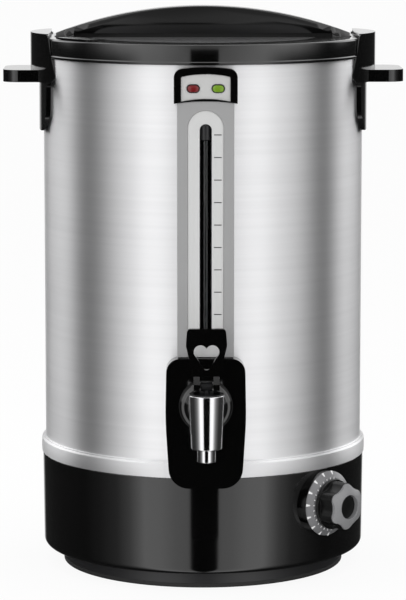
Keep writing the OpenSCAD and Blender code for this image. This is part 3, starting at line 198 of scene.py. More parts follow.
def turned(name, profile, steps=240, windows=(), closed=True, axis_y=0.0):
    """Mesh turned round an upright axis from (radius, z) points, with windows given as
    (first azimuth, last azimuth, low z, high z), azimuths in degrees from the tap."""
    stops = {round(360 * i / steps, 6) for i in range(steps)}
    for a0, a1, _, _ in windows:
        stops |= {a0 % 360, a1 % 360}
    stops = sorted(stops)
    levels = {z for w in windows for z in w[2:]}
    points = []
    pairs = list(zip(profile, profile[1:] + (profile[:1] if closed else [])))
    for (r0, z0), (r1, z1) in pairs:
        points.append((r0, z0))
        between = [z for z in levels if min(z0, z1) < z < max(z0, z1)]
        for z in sorted(between, reverse=z1 < z0):
            points.append((r0 + (r1 - r0) * (z - z0) / (z1 - z0), z))
    if not closed:
        points.append(profile[-1])
    verts = []
    for r, z in points:
        for a in stops:
            angle = math.radians(a)
            verts.append((r * math.sin(angle), axis_y - r * math.cos(angle), z))
    faces = []
    rows, cols = len(points), len(stops)
    for i in range(rows if closed else rows - 1):
        k = (i + 1) % rows
        z = (points[i][1] + points[k][1]) / 2
        for j in range(cols):
            n = (j + 1) % cols
            a = (stops[j] + (stops[n] if n else 360)) / 2
            if any(
                lo <= z <= hi and ((a - a0) % 360) <= ((a1 - a0) % 360)
                for a0, a1, lo, hi in windows
            ):
                continue
            faces.append((i * cols + j, i * cols + n, k * cols + n, k * cols + j))
    obj = add_object(name, verts, faces)
    bm = bmesh.new()
    bm.from_mesh(obj.data)
    bmesh.ops.remove_doubles(bm, verts=bm.verts, dist=1e-7)
    bmesh.ops.dissolve_degenerate(bm, edges=bm.edges, dist=1e-8)
    bm.to_mesh(obj.data)
    bm.free()
    shade(obj)
    return obj


def window(direction, half_width, low, high, radius=SHELL_R):
    """Window for a turned mesh: its two azimuths, from half its width, and its levels."""
    half = math.degrees(math.asin(half_width / radius))
    return (direction - half, direction + half, low, high)


def aimed(obj, direction, height):
    """Lays an upright turned mesh along a direction round the body."""
    a = math.radians(direction)
    turn = Matrix(
        (
            (math.cos(a), 0, math.sin(a), 0),
            (math.sin(a), 0, -math.cos(a), 0),
            (0, 1, 0, height * MM),
            (0, 0, 0, 1),
        )
    )
    obj.data.transform(turn)
    obj.data.update()
    return obj


def walled(obj, thickness):
    """Gives a turned surface a wall behind it."""
    wall = obj.modifiers.new("wall", "SOLIDIFY")
    wall.thickness = thickness * MM
    wall.offset = -1
    baked(obj)
    shade(obj)
    return obj


def rounded(obj, width, segments, angle):
    """Adds a bevel, in millimetres, to edges sharper than the angle in degrees."""
    bevel = obj.modifiers.new("edge", "BEVEL")
    bevel.width = width * MM
    bevel.segments = segments
    bevel.limit_method = "ANGLE"
    bevel.angle_limit = math.radians(angle)
    return bevel


def softened(name, node, width, segments=2):
    """Copy of a CAD node with its hard edges rounded over, or plain where width is 0."""
    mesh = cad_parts[node].data.copy()
    mesh.materials.clear()
    obj = linked(name, mesh)
    bm = bmesh.new()
    bm.from_mesh(mesh)
    bmesh.ops.remove_doubles(bm, verts=bm.verts, dist=2e-6)
    if width > 0:
        bmesh.ops.dissolve_limit(
            bm, angle_limit=math.radians(0.6), verts=bm.verts, edges=bm.edges
        )
    bm.to_mesh(mesh)
    bm.free()
    if width > 0:
        bevel = rounded(obj, width, segments, 28)
        bevel.use_clamp_overlap = True
        bevel.miter_outer = "MITER_ARC"
        weigh = obj.modifiers.new("weigh", "WEIGHTED_NORMAL")
        weigh.keep_sharp = True
        weigh.weight = 80
    shade(obj, 60)
    return baked(obj)


def joined(name, objects):
    """One object from several."""
    bm = bmesh.new()
    for o in objects:
        bm.from_mesh(o.data)
    mesh = bpy.data.meshes.new(name)
    bm.to_mesh(mesh)
    bm.free()
    for o in objects:
        data = o.data
        bpy.data.objects.remove(o)
        bpy.data.meshes.remove(data)
    obj = linked(name, mesh)
    shade(obj)
    return obj


def place(piece, body, slot, look, *nodes):
    """Gives a piece its material, its body and the CAD nodes that it stands for."""
    piece.data.materials.clear()
    piece.data.materials.append(look)
    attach(piece, body)
    if nodes:
        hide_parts(*nodes)
    return piece


def rework(node, name, body, slot, look, width, segments=2):
    """Puts a softened copy in a CAD node's place."""
    place(softened(name, node, width, segments), body, slot, look, node)


def dress(look, *nodes):
    """Gives CAD nodes that stay a procedural material."""
    for node in nodes:
        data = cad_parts[node].data
        if len(data.materials) == 0:
            data.materials.append(look)
        for i in range(len(data.materials)):
            data.materials[i] = look


def outward(points, direction, height):
    """Turns local (x, y, out) points to a direction round the body."""
    a = math.radians(direction)
    return [
        (
            x * math.cos(a) + out * math.sin(a),
            x * math.sin(a) - out * math.cos(a),
            height + y,
        )
        for x, y, out in points
    ]


# ---- looks


def add_node(tree, kind, inputs=None, **settings):
    """Adds a node, sets its settings, and links or sets its inputs."""
    node = tree.nodes.new(kind)
    for key, value in settings.items():
        setattr(node, key, value)
    for socket, value in (inputs or {}).items():
        if isinstance(value, bpy.types.NodeSocket):
            tree.links.new(value, node.inputs[socket])
        else:
            node.inputs[socket].default_value = value
    return node


def calc(tree, operation, *values):
    """Result of a math node on numbers or sockets."""
    node = add_node(tree, "ShaderNodeMath", dict(enumerate(values)), operation=operation)
    return node.outputs[0]


def vector_calc(tree, operation, inputs):
    """Result of a vector math node."""
    return add_node(tree, "ShaderNodeVectorMath", inputs, operation=operation).outputs[0]


def mapped(tree, value, source=(0.0, 1.0), target=(0.0, 1.0)):
    """Value carried from one range to another, where an end may be a socket."""
    ends = dict(zip(("From Min", "From Max", "To Min", "To Max"), (*source, *target)))
    return add_node(tree, "ShaderNodeMapRange", {"Value": value, **ends}).outputs[0]


def combined(tree, **parts):
    """Vector from its X, Y and Z."""
    return add_node(tree, "ShaderNodeCombineXYZ", parts).outputs[0]


def noise(tree, vector, scale, detail, roughness=0.5):
    """Noise with values round a half."""
    inputs = {"Vector": vector, "Scale": scale, "Detail": detail, "Roughness": roughness}
    return add_node(tree, "ShaderNodeTexNoise", inputs).outputs["Fac"]


def object_place(tree):
    """Place in the object's own coordinates."""
    return add_node(tree, "ShaderNodeTexCoord").outputs["Object"]


def new_group(name, inputs, outputs):
    """Shader group with named inputs (name, type, default) and outputs (name, type)."""
    tree = bpy.data.node_groups.new(name, "ShaderNodeTree")
    for label, kind, default in inputs:
        socket = tree.interface.new_socket(
            label, in_out="INPUT", socket_type=f"NodeSocket{kind}"
        )
        socket.default_value = default
    for label, kind in outputs:
        tree.interface.new_socket(label, in_out="OUTPUT", socket_type=f"NodeSocket{kind}")
    given = tree.nodes.new("NodeGroupInput").outputs
    return tree, given, tree.nodes.new("NodeGroupOutput").inputs


def mottle_group():
    """Slight unevenness of colour and gloss, as every moulded or rolled surface has."""
    tree, given, result = new_group(
        "surface_mottle",
        [
            ("Color", "Color", (0.5, 0.5, 0.5, 1)),
            ("Color Vary", "Float", 0.04), ("Roughness", "Float", 0.3),
            ("Roughness Vary", "Float", 0.1), ("Scale", "Float", 60.0),
        ],
        [("Color", "Color"), ("Roughness", "Float")],
    )
    spots = noise(tree, object_place(tree), given["Scale"], 4.0)
    centred = calc(tree, "SUBTRACT", spots, 0.5)
    tint = calc(tree, "MULTIPLY_ADD", centred, given["Color Vary"], 1.0)
    color = vector_calc(tree, "SCALE", {0: given["Color"], "Scale": tint})
    tree.links.new(color, result["Color"])
    shine = calc(tree, "MULTIPLY_ADD", centred, given["Roughness Vary"], 1.0)
    roughness = calc(tree, "MULTIPLY", given["Roughness"], shine)
    tree.links.new(roughness, result["Roughness"])
    return tree


def brushing_group():
    """Fine parallel lines that a brush leaves in metal, running round the body."""
    tree, given, result = new_group(
        "brushed_lines",
        [("Across", "Float", 1400.0), ("Along", "Float", 12.0)],
        [("Height", "Float"), ("Streak", "Float")],
    )
    stretch = combined(tree, X=given["Along"], Y=given["Along"], Z=given["Across"])
    fine = vector_calc(tree, "MULTIPLY", {0: object_place(tree), 1: stretch})
    tree.links.new(noise(tree, fine, 1.0, 5.0, 0.7), result["Height"])
    broad = vector_calc(tree, "MULTIPLY", {0: fine, 1: (1.0, 1.0, 0.16)})
    tree.links.new(noise(tree, broad, 1.0, 3.0, 0.6), result["Streak"])
    return tree


def peel_group():
    """Very fine ripple of a moulded surface."""
    tree, given, result = new_group(
        "moulded_ripple", [("Scale", "Float", 900.0)], [("Height", "Float")]
    )
    tree.links.new(noise(tree, object_place(tree), given["Scale"], 2.0), result["Height"])
    return tree


class Looks:
    """The urn's materials, each made once when first asked for."""

    def __init__(self):
        self.made = {}
        self.groups = {}

    def grouped(self, tree, maker, inputs=None):
        """Outputs of a group node, whose group is made once."""
        if maker not in self.groups:
            self.groups[maker] = maker()
        node = add_node(tree, "ShaderNodeGroup", node_tree=self.groups[maker])
        for socket, value in (inputs or {}).items():
            node.inputs[socket].default_value = value
        return node.outputs

    def base(self, name, color, roughness, vary=0.03, rough_vary=0.15, scale=60.0):
        """New material with an uneven surface: its tree, its shader and its mottled colour."""
        mat = bpy.data.materials.new(name)
        mat.use_nodes = True
        tree = mat.node_tree
        shader = tree.nodes["Principled BSDF"]
        settings = {
            "Color": (*color, 1), "Color Vary": vary, "Roughness": roughness,
            "Roughness Vary": rough_vary, "Scale": scale,
        }
        mottle = self.grouped(tree, mottle_group, settings)
        tree.links.new(mottle["Color"], shader.inputs["Base Color"])
        tree.links.new(mottle["Roughness"], shader.inputs["Roughness"])
        self.made[name] = mat
        return tree, shader, mottle["Color"]

    def bump(self, tree, shader, height, strength, distance):
        """Relief of a surface, its distance in millimetres."""
        node = add_node(
            tree,
            "ShaderNodeBump",
            {"Height": height, "Strength": strength, "Distance": distance * MM},
        )
        tree.links.new(node.outputs["Normal"], shader.inputs["Normal"])

    def plastic(self, name, color, roughness, ripple=0.02, specular=0.5, coat=0.0, vary=0.03):
        if name not in self.made:
            tree, shader, _ = self.base(name, color, roughness, vary)
            shader.inputs["Specular IOR Level"].default_value = specular
            shader.inputs["Coat Weight"].default_value = coat
            shader.inputs["Coat Roughness"].default_value = 0.04
            if ripple > 0:
                peel = self.grouped(tree, peel_group)
                self.bump(tree, shader, peel["Height"], ripple, 0.05)
        return self.made[name]

    def metal(self, name, color, roughness, vary=0.04, scale=60.0):
        if name not in self.made:
            _, shader, _ = self.base(name, color, roughness, vary, 0.2, scale)
            shader.inputs["Metallic"].default_value = 1.0
        return self.made[name]

    def brushed(self, name, color, roughness, stretch, across, along, depth, streak):
        """Brushed metal whose lines run round the body."""
        if name not in self.made:
            tree, shader, mottled = self.base(name, color, roughness, 0.02, 0.1, 25.0)
            shader.inputs["Metallic"].default_value = 1.0
            shader.inputs["Anisotropic"].default_value = stretch
            tangent = add_node(tree, "ShaderNodeTangent", direction_type="RADIAL", axis="Z")
            tree.links.new(tangent.outputs[0], shader.inputs["Tangent"])
            shader.inputs["Anisotropic Rotation"].default_value = 0.25
            lines = self.grouped(tree, brushing_group, {"Across": across, "Along": along})
            shift = mapped(tree, lines["Streak"], (0.3, 0.7), (1.0 - streak, 1.0 + streak))
            tinted = vector_calc(tree, "SCALE", {0: mottled, "Scale": shift})
            tree.links.new(tinted, shader.inputs["Base Color"])
            self.bump(tree, shader, lines["Height"], depth, 0.02)
        return self.made[name]

    def clear(self, name, color, roughness):
        if name not in self.made:
            _, shader, _ = self.base(name, color, roughness, 0.01, 0.05)
            shader.inputs["Transmission Weight"].default_value = 1.0
            shader.inputs["IOR"].default_value = 1.5
        return self.made[name]


looks = Looks()


def black_gloss():
    """Gloss black moulding of base, collar, lid and handles."""
    color = bpy.context.scene.urn_finishes.moulding
    return looks.plastic(
        "black_gloss", tuple(color), 0.09, ripple=0.012, specular=0.85, vary=0.1
    )


def black_satin():
    """Satin black moulding."""
    return looks.plastic("black_satin", (0.012, 0.012, 0.013), 0.36, ripple=0.06, vary=0.1)


def zinc():
    """Zinc-plated steel of studs, nuts and screws."""
    return looks.metal("zinc_plate", (0.6, 0.61, 0.6), 0.32)


# ---- settings


class UrnFinishes(bpy.types.PropertyGroup):
    """Colours of the urn's main finishes"""

    steel: FloatVectorProperty(
        name="Shell steel",
        description="Colour of the brushed steel body",
        subtype="COLOR", default=(0.82, 0.82, 0.83), min=0, max=1,
    )
    moulding: FloatVectorProperty(
        name="Black moulding",
        description="Colour of base, collar, lid and handles",
        subtype="COLOR", default=(0.0015, 0.0015, 0.0015), min=0, max=1,
    )
    channel: FloatVectorProperty(
        name="Gauge channel",
        description="Colour of the long cover round the gauge",
        subtype="COLOR", default=(0.29, 0.29, 0.292), min=0, max=1,
    )
    scale_plate: FloatVectorProperty(
        name="Scale plate",
        description="Colour of the pale plate behind the scale",
        subtype="COLOR", default=(0.52, 0.522, 0.52), min=0, max=1,
    )
    print_ink: FloatVectorProperty(
        name="Printed ticks",
        description="Colour of the printed marks",
        subtype="COLOR", default=(0.02, 0.02, 0.02), min=0, max=1,
    )


class UrnSizes(bpy.types.PropertyGroup):
    """Sizes that the looks add to the frame"""

    tick_length: FloatProperty(
        name="Tick length",
        description="Length of a tick on the water gauge",
        default=0.0059, unit="LENGTH",
    )
    tick_width: FloatProperty(
        name="Tick width",
        description="Thickness of a printed tick",
        default=0.0007, unit="LENGTH",
    )
    tick_pitch: FloatProperty(
        name="Tick pitch",
        description="Distance between ticks on the water gauge",
        default=0.01755, unit="LENGTH",
    )
    tick_count: IntProperty(
        name="Ticks",
        description="Number of ticks on the water gauge",
        default=9,
    )


class UrnStudio(bpy.types.PropertyGroup):
    """Strengths of the studio's lamps"""

    room: FloatProperty(
        name="Room",
        description="Brightness of the room around",
        default=1.0,
    )
    top: FloatProperty(
        name="Top panel",
        description="Brightness of the panel above",
        default=1.65,
    )
    fill: FloatProperty(
        name="Fill lamp",
        description="Share of light that the lamp beside the camera adds",
        default=0.25,
    )


# ---- stage


class URN_OT_studio(bpy.types.Operator):
    """Camera, floor, surroundings and lamps"""

    bl_idname = "urn.studio"
    bl_label = "Studio"

    def execute(self, context):
        scene = context.scene
        settings = scene.urn_studio
        data = bpy.data.cameras.new("camera")
        data.sensor_fit = "VERTICAL"
        data.sensor_height = 36.0
        data.lens = CAMERA_LENS
        data.clip_end = 40.0
        camera = bpy.data.objects.new("camera", data)
        camera.location = CAMERA_AT
        camera.rotation_euler = (math.radians(90 - CAMERA_DOWN), 0, math.radians(CAMERA_TURN))
        scene.collection.objects.link(camera)
        scene.camera = camera
        scene.view_settings.view_transform = "Standard"
        self.floor()
        self.flag()
        self.lamps(settings)
        self.world(settings)
        return {"FINISHED"}

    def white(self, name, shadow_share):
        """Matt white that shows as the background's white, keeping a share of its shadow."""
        mat = bpy.data.materials.new(name)
        mat.use_nodes = True
        tree = mat.node_tree
        tree.nodes.clear()
        path = add_node(tree, "ShaderNodeLightPath").outputs
        seen = calc(tree, "MAXIMUM", path["Is Camera Ray"], path["Is Glossy Ray"])
        seen = calc(tree, "MAXIMUM", seen, path["Is Transmission Ray"])
        share = calc(tree, "MULTIPLY", seen, 1 - shadow_share)
        matt = add_node(tree, "ShaderNodeBsdfDiffuse", {"Color": (0.8, 0.8, 0.8, 1)})
        glow = add_node(
            tree, "ShaderNodeEmission", {"Color": (1, 1, 1, 1), "Strength": 1.0}
        )
        mix = add_node(
            tree, "ShaderNodeMixShader", {0: share, 1: matt.outputs[0], 2: glow.outputs[0]}
        )
        out = add_node(tree, "ShaderNodeOutputMaterial")
        tree.links.new(mix.outputs[0], out.inputs["Surface"])
        return mat

    def floor(self):
        """Wide flat floor."""
        reach = 18000
        corners = [(-reach, -reach, 0), (reach, -reach, 0), (reach, reach, 0), (-reach, reach, 0)]
        ground = add_object("studio_floor", corners, [(0, 1, 2, 3)])
        ground.data.materials.append(self.white("studio_white", 0.08))
        ground.visible_glossy = False

    def flag(self):
        """Black card before the tap that only gloss and brushed metal mirror."""
        dark = bpy.data.materials.new("studio_black")
        dark.use_nodes = True
        shader = dark.node_tree.nodes["Principled BSDF"]
        shader.inputs["Base Color"].default_value = (0.002, 0.002, 0.002, 1)
        shader.inputs["Roughness"].default_value = 1.0
        shader.inputs["Specular IOR Level"].default_value = 0.0
        half, y, foot, top = 35, -270, 10, 438
        corners = [(-half, y, foot), (half, y, foot), (half, y, top), (-half, y, top)]
        flag = add_object("studio_flag", corners, [(0, 1, 2, 3)])
        flag.data.materials.append(dark)
        flag.visible_camera = False
        flag.visible_diffuse = False
        flag.visible_transmission = False
        flag.visible_shadow = False

    def lamp(self, name, place_mm, target_mm, width, height, power):
        """Flat lamp that the camera doesn't see."""
        data = bpy.data.lights.new(name, "AREA")
        data.shape = "RECTANGLE"
        data.size = width * MM
        data.size_y = height * MM
        data.energy = power
        lamp = bpy.data.objects.new(name, data)
        lamp.location = Vector(place_mm) * MM
        aim = Vector(target_mm) * MM - lamp.location
        lamp.rotation_euler = aim.to_track_quat("-Z", "Y").to_euler()
        lamp.visible_camera = False
        bpy.context.scene.collection.objects.link(lamp)
        return lamp

    def lamps(self, settings):
        """A wide panel above, and a soft fill beside the camera that shows in no gloss."""
        width, height = 2400, 800
        power = settings.top * math.pi * width * height * MM**2
        self.lamp("top_panel", (0, 0, 1500), (0, 0, 0), width, height, power)
        distance, side = 2500, 900
        power = settings.fill * math.pi**2 * (distance * MM) ** 2
        fill = self.lamp("fill_lamp", (-300, -distance, 700), (0, 0, 250), side, side, power)
        fill.visible_glossy = False

    def graded(self, tree, share, stops, level):
        """Brightness by azimuth, where a share of 1 is straight behind."""
        ramp = add_node(tree, "ShaderNodeValToRGB", {"Fac": share})
        elements = ramp.color_ramp.elements
        elements.remove(elements[0])
        for i, (degrees, radiance) in enumerate(stops):
            stop = elements.new(degrees / 180) if i else elements[0]
            stop.position = degrees / 180
            stop.color = (radiance / ROOM_PEAK,) * 3 + (1,)
        return calc(tree, "MULTIPLY", ramp.outputs["Color"], ROOM_PEAK * level)

    def world(self, settings):
        """Room that metal and gloss mirror, and plain white where the camera looks."""
        world = bpy.data.worlds.new("studio")
        bpy.context.scene.world = world
        world.use_nodes = True
        tree = world.node_tree
        where = add_node(tree, "ShaderNodeTexCoord").outputs["Generated"]
        x, y, z = add_node(tree, "ShaderNodeSeparateXYZ", {0: where}).outputs
        azimuth = calc(tree, "ARCTAN2", x, calc(tree, "MULTIPLY", y, -1.0))
        share = calc(tree, "DIVIDE", calc(tree, "ABSOLUTE", azimuth), math.pi)
        left, right, low = (
            self.graded(tree, share, stops, settings.room)
            for stops in (ROOM_LEFT, ROOM_RIGHT, GLOSS_BAND)
        )
        room = mapped(tree, calc(tree, "GREATER_THAN", x, 0.0), target=(left, right))
        overhead = mapped(tree, z, (0.4, 0.8), (1.0, 0.5))
        room = calc(tree, "MULTIPLY", room, overhead)
        below = mapped(tree, z, (0.0, 0.07), (1.0, 0.0))
        room = mapped(tree, below, target=(room, low))
        path = add_node(tree, "ShaderNodeLightPath").outputs
        seen = calc(tree, "MAXIMUM", path["Is Glossy Ray"], path["Is Transmission Ray"])
        mirrored = calc(tree, "MULTIPLY", seen, mapped(tree, y, (0.93, 0.99)))
        white = calc(tree, "MAXIMUM", path["Is Camera Ray"], mirrored)
        back = tree.nodes["Background"]
        back.inputs["Color"].default_value = (1, 1, 1, 1)
        tree.links.new(mapped(tree, white, target=(room, 1.0)), back.inputs["Strength"])


# ---- pieces


class URN_OT_body(bpy.types.Operator):
    """Brushed outer shell and bright trim band"""

    bl_idname = "urn.body"
    bl_label = "Body"

    def execute(self, context):
        steel = looks.brushed(
            "shell_steel",
            tuple(context.scene.urn_finishes.steel),
            0.42,
            stretch=0.95, across=1500.0, along=3.0, depth=0.03, streak=0.025,
        )
        windows = [
            window(0, TUBE_HALF_W, *TUBE_LEVELS),
            window(0, LAMP_HALF_W, *LAMP_LEVELS),
            window(0, TAP_HOLE_R, TAP_Z - TAP_HOLE_R, TAP_Z + TAP_HOLE_R),
        ]
        shell = turned(
            "outer_shell_skin",
            [(SHELL_R, SHELL_FOOT), (SHELL_R, 250.0), (SHELL_R, COLLAR_FOOT + 4.8)],
            steps=360,
            windows=windows,
            closed=False,
        )
        walled(shell, SHELL_T)
        place(shell, "urn", "shell_steel", steel, "outer_shell")

        bright = looks.brushed(
            "band_steel",
            (0.8, 0.8, 0.81),
            0.5,
            stretch=0.9, across=900.0, along=3.0, depth=0.02, streak=0.02,
        )
        profile = filleted([
            (SHELL_R + 0.05, SHELL_FOOT, 0), (133.2, SHELL_FOOT, 0.5),
            (133.5, SHELL_FOOT + 6.0, 40.0), (133.1, BAND_TOP - 1.9, 0.9),
            (131.4, BAND_TOP - 1.0, 0.4), (131.3, BAND_TOP, 0.35),
            (SHELL_R + 0.05, BAND_TOP, 0),
        ])
        band = turned("trim_band_ring", profile, steps=240)
        place(band, "urn", "band_steel", bright, "trim_band")
        return {"FINISHED"}


class URN_OT_base(bpy.types.Operator):
    """Base housing, bottom plate, foot ring and mains inlet"""

    bl_idname = "urn.base"
    bl_label = "Base"

    def execute(self, context):
        gloss = black_gloss()
        profile = filleted([
            (98.0, BASE_FOOT, 0), (BASE_R - 0.8, BASE_FOOT, 5.5), (BASE_R, SHELL_FOOT, 0.7),
            (124.0, SHELL_FOOT, 0),
        ], steps=10)
        knob_levels = (KNOB_Z - SHAFT_HOLE_R, KNOB_Z + SHAFT_HOLE_R)
        inlet_levels = (INLET_Z - INLET_HALF_H, INLET_Z + INLET_HALF_H)
        housing = turned(
            "base_housing_shell",
            profile,
            steps=360,
            windows=[
                window(KNOB_ANGLE, SHAFT_HOLE_R, *knob_levels, BASE_R),
                window(180, INLET_HALF_W, *inlet_levels, BASE_R),
            ],
            closed=False,
        )
        walled(housing, 2.5)
        place(housing, "urn", "black_gloss", gloss, "base_housing")
        pad = self.inlet_pad()
        place(pad, "urn", "black_gloss", gloss)

        rework("bottom_plate", "bottom_plate_disc", "urn", "black_satin", black_satin(), 0.4)
        rubber = looks.plastic("foot_rubber", (0.011, 0.011, 0.011), 0.62, ripple=0.12, vary=0.12)
        profile = filleted([
            (111.5, 0, 0.8), (115.5, 0, 1.0), (115.5, 3.5, 0.2), (114.7, 3.5, 0),
            (114.7, 6.5, 0.3), (112.3, 6.5, 0.3), (112.3, 3.5, 0), (111.5, 3.5, 0.2),
        ])
        ring = turned("foot_ring_rubber", profile, steps=200)
        place(ring, "urn", "foot_rubber", rubber, "foot_ring")
        rework("mains_inlet", "mains_inlet_socket", "urn", "black_satin", black_satin(), 0.35)
        dress(looks.metal("brass_pin", (0.72, 0.55, 0.24), 0.22), "inlet_pins")
        dress(zinc(), "inlet_screws")
        return {"FINISHED"}

    def inlet_pad(self):
        """Flat pad at the back that the inlet is screwed to."""
        half_w, half_h = 27.0, 13.5
        face, edge = 133.2, 0.6
        root_r, sink = 130.5, 1.2

        def corners(w, h, radius):
            return filleted([(-w, -h, radius), (w, -h, radius), (w, h, radius), (-w, h, radius)])

        outer = corners(half_w, half_h, 2.5)
        inner = corners(INLET_HALF_W, INLET_HALF_H, 0.8)

        def ring(outline, out, inset=0.0):
            return [
                (x - math.copysign(inset, x), y - math.copysign(inset, y), out) for x, y in outline
            ]

        def sunk(outline):
            return [(x, y, math.sqrt(root_r**2 - x * x) - sink) for x, y in outline]

        rings = [sunk(outer), ring(outer, face - edge), ring(outer, face, edge)]
        rings += [ring(inner, face), sunk(inner)]
        verts = outward([point for points in rings for point in points], 180, INLET_Z)
        pad = add_object("inlet_pad", verts, ring_faces(len(outer), len(rings), looped=True))
        clean(pad)
        shade(pad)
        return pad


class URN_OT_collar(bpy.types.Operator):
    """Black collar round the top"""

    bl_idname = "urn.collar"
    bl_label = "Collar"

    def execute(self, context):
        profile = filleted([
            (117.5, 424.0, 0), (130.05, 424.0, 0), (130.05, COLLAR_FOOT, 0.2),
            (131.9, COLLAR_FOOT, 0.5), (131.9, 419.2, 0.6), (131.4, 419.7, 0.4),
            (131.4, RIM_Z, 1.3), (120.8, RIM_Z, 0.8), (120.8, 426.0, 0.3),
            (117.5, 426.0, 0.4),
        ])
        ring = turned("top_collar_ring", profile, steps=300)
        place(ring, "urn", "black_gloss", black_gloss(), "top_collar")
        return {"FINISHED"}


class URN_OT_lid(bpy.types.Operator):
    """Lid with its bridge handle, inlays, liner and gasket"""

    bl_idname = "urn.lid"
    bl_label = "Lid"

    def execute(self, context):
        cover = softened("lid_cover_moulding", "lid_cover", 0)
        shade(cover, 25)
        color = context.scene.urn_finishes.moulding
        black = looks.plastic("lid_black", tuple(color), 0.17, 0.012, specular=0.4, vary=0.1)
        place(cover, "lid", "black_gloss", black, "lid_cover")
        inlay = looks.metal("inlay_steel", (0.64, 0.64, 0.65), 0.24)
        rework("lid_inlays", "lid_inlay_plates", "lid", "inlay_steel", inlay, 0.12)
        satin = looks.metal("tank_steel", (0.6, 0.6, 0.61), 0.28, scale=18.0)
        dress(satin, "lid_liner", "inner_tank")
        dress(zinc(), "lid_screws")
        silicone = looks.plastic("seal_silicone", (0.42, 0.41, 0.39), 0.5, ripple=0.1)
        dress(silicone, "lid_gasket", "seat_cup", "tap_washer")
        return {"FINISHED"}


class URN_OT_handles(bpy.types.Operator):
    """The two side handles"""

    bl_idname = "urn.handles"
    bl_label = "Handles"

    def execute(self, context):
        for side in ("right", "left"):
            name = f"handle_{side}"
            rework(name, name + "_moulding", "urn", "black_gloss", black_gloss(), 0.9, 3)
        dress(zinc(), "handle_screws")
        return {"FINISHED"}


class URN_OT_indicator(bpy.types.Operator):
    """Bezel, plate and the two lamps"""

    bl_idname = "urn.indicator"
    bl_label = "Indicator"

    def execute(self, context):
        rework(
            "indicator_bezel", "indicator_bezel_frame", "urn", "black_gloss", black_gloss(), 1.1, 3
        )
        face = looks.plastic("lamp_plate", (0.46, 0.46, 0.455), 0.3, ripple=0.02)
        rework("indicator_plate", "indicator_plate_face", "urn", "lamp_plate", face, 0.15)
        red = looks.plastic("red_lens", (0.13, 0.001, 0.003), 0.3, ripple=0, coat=0.15)
        green = looks.plastic("green_lens", (0.13, 0.25, 0.004), 0.3, ripple=0, coat=0.15)
        for name, slot, look, side in (
            ("lamp_red", "red_lens", red, -1), ("lamp_green", "green_lens", green, 1),
        ):
            lens = self.lens(name + "_lens", side)
            place(lens, "urn", slot, look, name)
        rims = []
        for side in (-1, 1):
            outline = self.lens_outline(side, 1.0)
            hole = self.lens_outline(side, 0.82)
            rims.append(pierced(f"lens_rim_{side}", outline, hole, 138.0, 136.2, 0.12))
        rim = joined("lens_rims", rims)
        place(rim, "urn", "black_satin", black_satin())
        dress(looks.clear("lamp_glass", (0.9, 0.6, 0.3), 0.1), "pilot_lamps")
        return {"FINISHED"}

    def lens_outline(self, side, share):
        """Oblong round one lens, as a share of its full width."""
        half, radius = 1.8, 3.3 * share
        right = arc_points((side * LENS_X + half, LENS_Z), radius, -90, 180, 12)
        return right + arc_points((side * LENS_X - half, LENS_Z), radius, 90, 180, 12)

    def lens(self, name, side):
        """Domed oblong lens."""
        centre_x, centre_z = side * LENS_X, LENS_Z
        outline = [(x - centre_x, z - centre_z) for x, z in self.lens_outline(side, 0.84)]
        rings = (
            (1.0, 134.8), (1.0, 137.5), (0.95, 137.9), (0.8, 138.2), (0.5, 138.5),
            (0.15, 138.6),
        )
        verts = []
        for share, out in rings:
            verts += [(centre_x + x * share, -out, centre_z + z * share) for x, z in outline]
        count = len(outline)
        faces = ring_faces(count, len(rings))
        faces.append(tuple((len(rings) - 1) * count + i for i in range(count)))
        faces.append(tuple(reversed(range(count))))
        lens = add_object(name, verts, faces)
        clean(lens)
        shade(lens, 50)
        return lens


def pierced(name, outer, hole, front, back, edge):
    """Flat plate facing the front, with one hole and softened edges, from (x, z) outlines."""
    bm = bmesh.new()
    rims = []
    for outline in (outer, hole):
        verts = [bm.verts.new((x * MM, -front * MM, z * MM)) for x, z in outline]
        count = len(verts)
        rims += [bm.edges.new((verts[i], verts[(i + 1) % count])) for i in range(count)]
    bmesh.ops.triangle_fill(bm, edges=rims, use_beauty=True, use_dissolve=False)
    wall = bmesh.ops.extrude_face_region(bm, geom=list(bm.faces))
    moved = [v for v in wall["geom"] if isinstance(v, bmesh.types.BMVert)]
    bmesh.ops.translate(bm, verts=moved, vec=(0, (front - back) * MM, 0))
    bmesh.ops.recalc_face_normals(bm, faces=bm.faces)
    mesh = bpy.data.meshes.new(name)
    bm.to_mesh(mesh)
    bm.free()
    plate = linked(name, mesh)
    rounded(plate, edge, 2, 50)
    baked(plate)
    shade(plate)
    return plate


def new_maker(name, inputs):
    """Geometry tree with named inputs (name, type) and the ink of what it makes."""
    tree = bpy.data.node_groups.new(name, "GeometryNodeTree")
    for label, kind in (("Geometry", "Geometry"), *inputs, ("Ink", "Material")):
        tree.interface.new_socket(label, in_out="INPUT", socket_type=f"NodeSocket{kind}")
    tree.interface.new_socket(
        "Geometry", in_out="OUTPUT", socket_type="NodeSocketGeometry"
    )
    given = tree.nodes.new("NodeGroupInput").outputs
    return tree, given, tree.nodes.new("NodeGroupOutput").inputs


def inked_copies(tree, given, result, inputs):
    """Copies of a shape on points, made real and inked, as the tree's result."""
    copies = add_node(tree, "GeometryNodeInstanceOnPoints", inputs)
    real = add_node(
        tree, "GeometryNodeRealizeInstances", {"Geometry": copies.outputs["Instances"]}
    )
    inked = add_node(
        tree,
        "GeometryNodeSetMaterial",
        {"Geometry": real.outputs["Geometry"], "Material": given["Ink"]},
    )
    tree.links.new(inked.outputs["Geometry"], result["Geometry"])
    return tree


